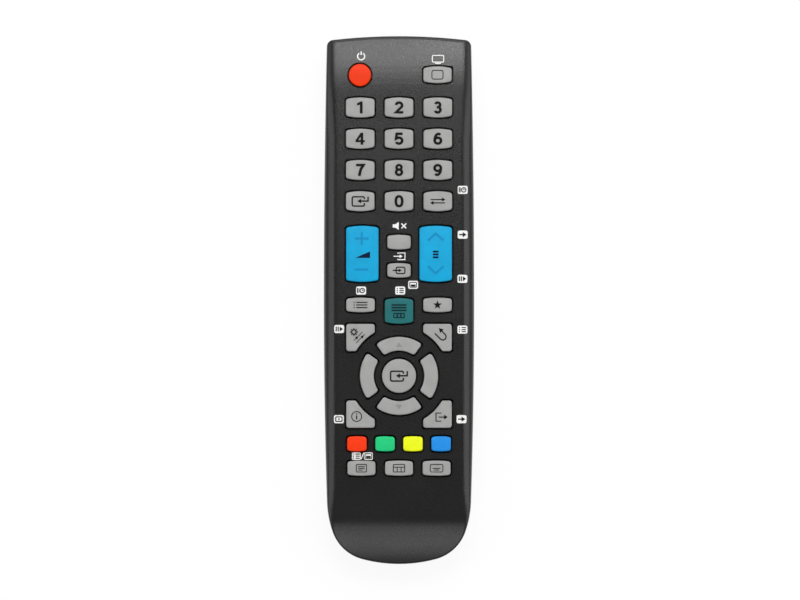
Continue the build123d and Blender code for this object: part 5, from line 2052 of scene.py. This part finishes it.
@dataclass
class BatteryBay:
    """Cells, springs, plates and the case screw."""

    finishes: Finishes
    cell_x: float = 5.4
    cell_z: float = 7.5
    low_y: float = -78.4
    top_y: float = -26.6
    plate: float = 0.4
    bump: float = 0.4
    plate_half: Point = (4.2, 4.0)
    band_length: float = 14.0
    tab_half: float = 1.0
    tab_low: float = 3.5
    tab_top_z: float = 14.3
    screw_y: float = -42.6
    cross_half: Point = (0.25, 1.1)
    cross_z: Point = (11.0, 12.6)

    CAN = (
        (0.4, 0.0), (1.6, 0.0), (1.85, 0.12), (1.9, 0.3), (1.9, 1.0), (2.3, 1.12), (3.6, 1.15), (3.9, 1.05),
        (4.5, 1.05), (4.95, 1.2), (5.1, 1.5), (5.1, 43.6), (5.0, 44.1), (4.7, 44.4), (4.2, 44.5), (3.4, 44.3),
        (0.4, 44.25),
    )
    FILM = (
        (4.4, 1.02), (5.0, 1.02), (5.2, 1.12), (5.25, 1.4), (5.25, 43.2), (5.2, 43.45), (5.0, 43.5),
        (4.4, 43.5),
    )
    BUMP = ((1.6, -0.15), (1.6, 0.1), (1.3, 0.3), (0.8, 0.4), (0.2, 0.4))
    SCREW = (
        (0.3, 11.9), (1.2, 11.92), (1.6, 12.02), (1.85, 12.25), (1.9, 12.55), (1.9, 13.0), (1.1, 13.0),
        (1.1, 17.2), (0.3, 18.0),
    )
    SMOOTH_BELOW = 35.0
    COIL_TURNS = 3.0
    COIL_STEPS = 78
    COIL_SIDES = 10
    COIL_RADII = (3.4, 1.1)
    COIL_RISE = (0.68, 5.4)
    WIRE = 0.35

    def build(self) -> None:
        """Model what the bay holds."""
        for name, x, plus in (("left", -self.cell_x, 1), ("right", self.cell_x, -1)):
            self._cell(name, x, plus)
        self._contact("contact_positive", -self.cell_x, -1, False)
        self._contact("contact_negative", self.cell_x, -1, True)
        self._bridge()
        self._screw()

    def _cell(self, name: str, x: float, plus: int) -> None:
        """Model a cell as a metal can with a printed film round it.

        Args:
            name: Which cell.
            x: Its place across.
            plus: 1 where its nub points to +Y, else -1.
        """
        end = self.top_y if plus > 0 else self.low_y
        tip = end - plus * (self.plate + self.bump)
        can, wrap = (
            lathe(f"cell_{name}_{part}", [(r, -plus * reach) for r, reach in profile], (x, tip, self.cell_z))
            for part, profile in (("can", self.CAN), ("film", self.FILM))
        )
        band = tip - plus * self.band_length
        jacket = CellFilm(f"cell film {name}", tint(26, 28, 34), tint(196, 120, 52), band, plus).material()
        smooth(can, self.SMOOTH_BELOW)
        smooth(wrap, self.SMOOTH_BELOW)
        dress(can, self.finishes.nickel, "housing", "contact_nickel", f"battery_{name}")
        dress(wrap, jacket, "housing", "cell_jacket", f"battery_{name}")

    def _plate(self, x: float, inward: int, bump: bool) -> list[Piece]:
        """Flat contact on an end wall of the bay, with or without its round bump."""
        wall = self.top_y if inward < 0 else self.low_y
        face = wall + inward * self.plate
        low_y, high_y = sorted((wall, face))
        across, up = self.plate_half
        sheet = block("plate", (x - across, low_y, self.cell_z - up), (x + across, high_y, self.cell_z + up))
        soften(sheet, 0.1, 50.0)
        if not bump:
            return [sheet]
        profile = [(radius, inward * reach) for radius, reach in self.BUMP]
        return [sheet, lathe("bump", profile, (x, face, self.cell_z), sides=32)]

    def _spring(self, x: float, inward: int) -> Piece:
        """Conical coil of round wire that stands on its plate."""
        wall = self.top_y if inward < 0 else self.low_y
        up = Vector((0.0, float(inward), 0.0))
        turned = [2 * math.pi * k / self.COIL_SIDES for k in range(self.COIL_SIDES)]
        rings = []
        for share in (i / self.COIL_STEPS for i in range(self.COIL_STEPS + 1)):
            radius = self.COIL_RADII[0] - self.COIL_RADII[1] * share
            rise = self.COIL_RISE[0] + self.COIL_RISE[1] * share
            angle = 2 * math.pi * self.COIL_TURNS * share
            out = Vector((math.cos(angle), 0.0, math.sin(angle)))
            middle = Vector((x, wall, self.cell_z)) + out * radius + up * rise
            rings.append([tuple(middle + (out * math.cos(t) + up * math.sin(t)) * self.WIRE) for t in turned])
        return stack("coil", rings)

    def _tab(self, x: float) -> Piece:
        """Tab from a contact through the bay's roof to the board."""
        low = (x - self.tab_half, self.top_y - self.plate, self.cell_z + self.tab_low)
        return block("tab", low, (x + self.tab_half, self.top_y, self.tab_top_z))

    def _contact(self, name: str, x: float, inward: int, spring: bool) -> None:
        """Model a contact that leads to the board.

        Args:
            name: Its CAD node.
            x: Its place across.
            inward: Which way along Y it faces.
            spring: True for a spring, false for a bump.
        """
        pieces = self._plate(x, inward, not spring) + [self._tab(x)]
        if spring:
            pieces.append(self._spring(x, inward))
        self._join_contact(pieces, name)

    def _bridge(self) -> None:
        """Model the contact that joins the two cells at the far end."""
        pieces = self._plate(self.cell_x, 1, True) + self._plate(-self.cell_x, 1, False)
        pieces.append(self._spring(-self.cell_x, 1))
        low = (-self.cell_x, self.low_y, self.cell_z - self.tab_half)
        high = (self.cell_x, self.low_y + self.plate, self.cell_z + self.tab_half)
        pieces.append(block("strap", low, high))
        self._join_contact(pieces, "contact_bridge")

    def _join_contact(self, pieces: Sequence[Piece], name: str) -> None:
        """Make the pieces of a contact one and dress it."""
        part = join(pieces, f"{name}_metal")
        smooth(part, self.SMOOTH_BELOW)
        dress(part, self.finishes.nickel, "housing", "contact_nickel", name)

    def _screw(self) -> None:
        """Model the case screw with its crosshead."""
        screw = lathe("case_screw_steel", self.SCREW, (0.0, self.screw_y, 0.0), "Z", 40)
        for x, y in (self.cross_half, self.cross_half[::-1]):
            low = (-x, self.screw_y - y, self.cross_z[0])
            carve(screw, block("cross", low, (x, self.screw_y + y, self.cross_z[1])))
        smooth(screw, self.SMOOTH_BELOW)
        dress(screw, self.finishes.zinc, "housing", "screw_steel", "case_screw")


@dataclass
class Electronics:
    """The sealed inner pieces, which keep their CAD meshes and get their finishes."""

    finishes: Finishes
    nodes: dict

    def build(self) -> None:
        """Dress every inner node."""
        # The mat and the board take finishes set darker than their own colours, as painted shade in the gaps
        # round the keys.
        looks = {
            "circuit_board": self.finishes.board,
            "keypad_mat": self.finishes.mat,
            "ir_led": self.finishes.emitter,
            "controller_chip": self.finishes.epoxy,
            "drive_transistor": self.finishes.epoxy,
            "resonator": self.finishes.lacquer,
            "electrolytic_capacitor": self.finishes.sleeve,
            "chip_passives": self.finishes.ceramic,
        }
        for name, material in looks.items():
            self.nodes[name].material_slots[0].material = material
            LOG.info("%s: dressed as %s", name, material.name)


@dataclass
class Studio:
    """Floor, lamps and the camera that looks straight down."""

    pixels_per_mm: float = 3.0
    centre: Point = (0.33, 0.05)
    distance: float = 3.0
    reference_z: float = 15.0
    picture_width: float = 800.0
    sensor_width: float = 36.0
    aim: Place = (0.0, 0.0, 0.01)
    floor_size: float = 6.0
    floor_drop: float = 0.00001
    floor_greys: Point = (0.86, 0.9)
    floor_glow: float = 1.04
    glow_share: float = 0.86
    world_glow: float = 0.08

    LAMPS = (
        ("end", (0.06, 0.70, 0.66), (1.0, 0.5), 1.45),
        ("gloss", (0.02, 0.37, 1.0), (0.5, 0.2), 9.8),
        ("rim", (0.04, 0.90, 0.40), (0.9, 0.3), 2.4),
        ("low", (0.0, -0.62, 0.80), (0.7, 0.36), 2.3),
        ("left", (-0.70, 0.05, 0.52), (0.9, 0.6), 1.5),
        ("right", (0.70, 0.05, 0.52), (0.9, 0.6), 1.75),
    )

    def build(self) -> None:
        """Set up the floor, the lamps, the world and the camera."""
        self._floor()
        self._camera()
        for name, at, size, glow in self.LAMPS:
            self._lamp(f"lamp_{name}", at, size, glow)
        world = bpy.data.worlds.new("studio")
        world.use_nodes = True
        sky = world.node_tree.nodes["Background"]
        sky.inputs["Color"].default_value = (1.0, 1.0, 1.0, 1.0)
        sky.inputs["Strength"].default_value = self.world_glow
        bpy.context.scene.world = world
        bpy.context.scene.view_settings.view_transform = "Standard"

    def _floor(self) -> None:
        """Lay a white floor that the camera sees as plain white, with the object's soft shadow."""
        deselect()
        bpy.ops.mesh.primitive_plane_add(size=self.floor_size, location=(0.0, 0.0, -self.floor_drop))
        floor = bpy.context.object
        floor.name = "floor"
        recipe = Recipe("floor paper")
        fibre = recipe.noise(1.5, 2.0)
        dark, light = ((grey, grey, grey, 1.0) for grey in self.floor_greys)
        white = recipe.mix(fibre, dark, light)
        paper = recipe.node("ShaderNodeBsdfDiffuse", None, {"Color": white})
        glow = recipe.node("ShaderNodeEmission", None, {0: (1.0, 1.0, 1.0, 1.0), 1: self.floor_glow})
        rays = recipe.node("ShaderNodeLightPath")
        seen = rays.part("Is Camera Ray")
        for kind in ("Is Glossy Ray", "Is Transmission Ray"):
            seen = seen.most(rays.part(kind))
        both = recipe.node("ShaderNodeMixShader", None, {0: seen * self.glow_share, 1: paper, 2: glow})
        recipe.node("ShaderNodeOutputMaterial", None, {"Surface": both})
        floor.data.materials.append(recipe.material)

    def _camera(self) -> None:
        """Hang the camera over the handset so that a pixel is a third of a millimetre."""
        data = bpy.data.cameras.new("camera")
        camera = bpy.data.objects.new("camera", data)
        bpy.context.scene.collection.objects.link(camera)
        data.sensor_width = self.sensor_width
        height = self.distance - self.reference_z * MM
        data.lens = self.sensor_width * height / (self.picture_width / self.pixels_per_mm * MM)
        camera.location = (self.centre[0] * MM, self.centre[1] * MM, self.distance)
        bpy.context.scene.camera = camera

    def _lamp(self, name: str, at: Place, size: Point, glow: float) -> None:
        """Hang a soft rectangular lamp that is aimed at the handset.

        Args:
            name: Its name.
            at: Its place in metres.
            size: Its width and height.
            glow: Its brightness, where 1 is what makes a white floor white from all round.
        """
        data = bpy.data.lights.new(name, "AREA")
        data.shape = "RECTANGLE"
        data.size, data.size_y = size
        data.energy = glow * math.pi * size[0] * size[1]
        lamp = bpy.data.objects.new(name, data)
        lamp.location = at
        lamp.rotation_euler = (Vector(self.aim) - Vector(at)).to_track_quat("-Z", "Y").to_euler()
        bpy.context.scene.collection.objects.link(lamp)


def main() -> None:
    """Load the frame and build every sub-assembly."""
    logging.basicConfig(level=logging.INFO, format="%(name)s %(message)s")
    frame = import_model()
    slots = {entry["node"]: entry["material_slot"] for entry in frame["record"]["subparts"]}
    finishes = Finishes()
    plan, face, hull = PlanOutline(), FaceForm(), HullForm()
    keys = key_list()
    forms = (plan, face, hull, finishes)
    FrontCover(*forms, keys=keys).build()
    RearCover(*forms).build()
    BatteryDoor(*forms).build()
    InfraredWindow(*forms).build()
    Keypad(keys, face, finishes, slots).build()
    Legends(keys, face, finishes).build()
    BatteryBay(finishes).build()
    Electronics(finishes, frame["nodes"]).build()
    Studio().build()


if __name__ == "__main__":
    main()
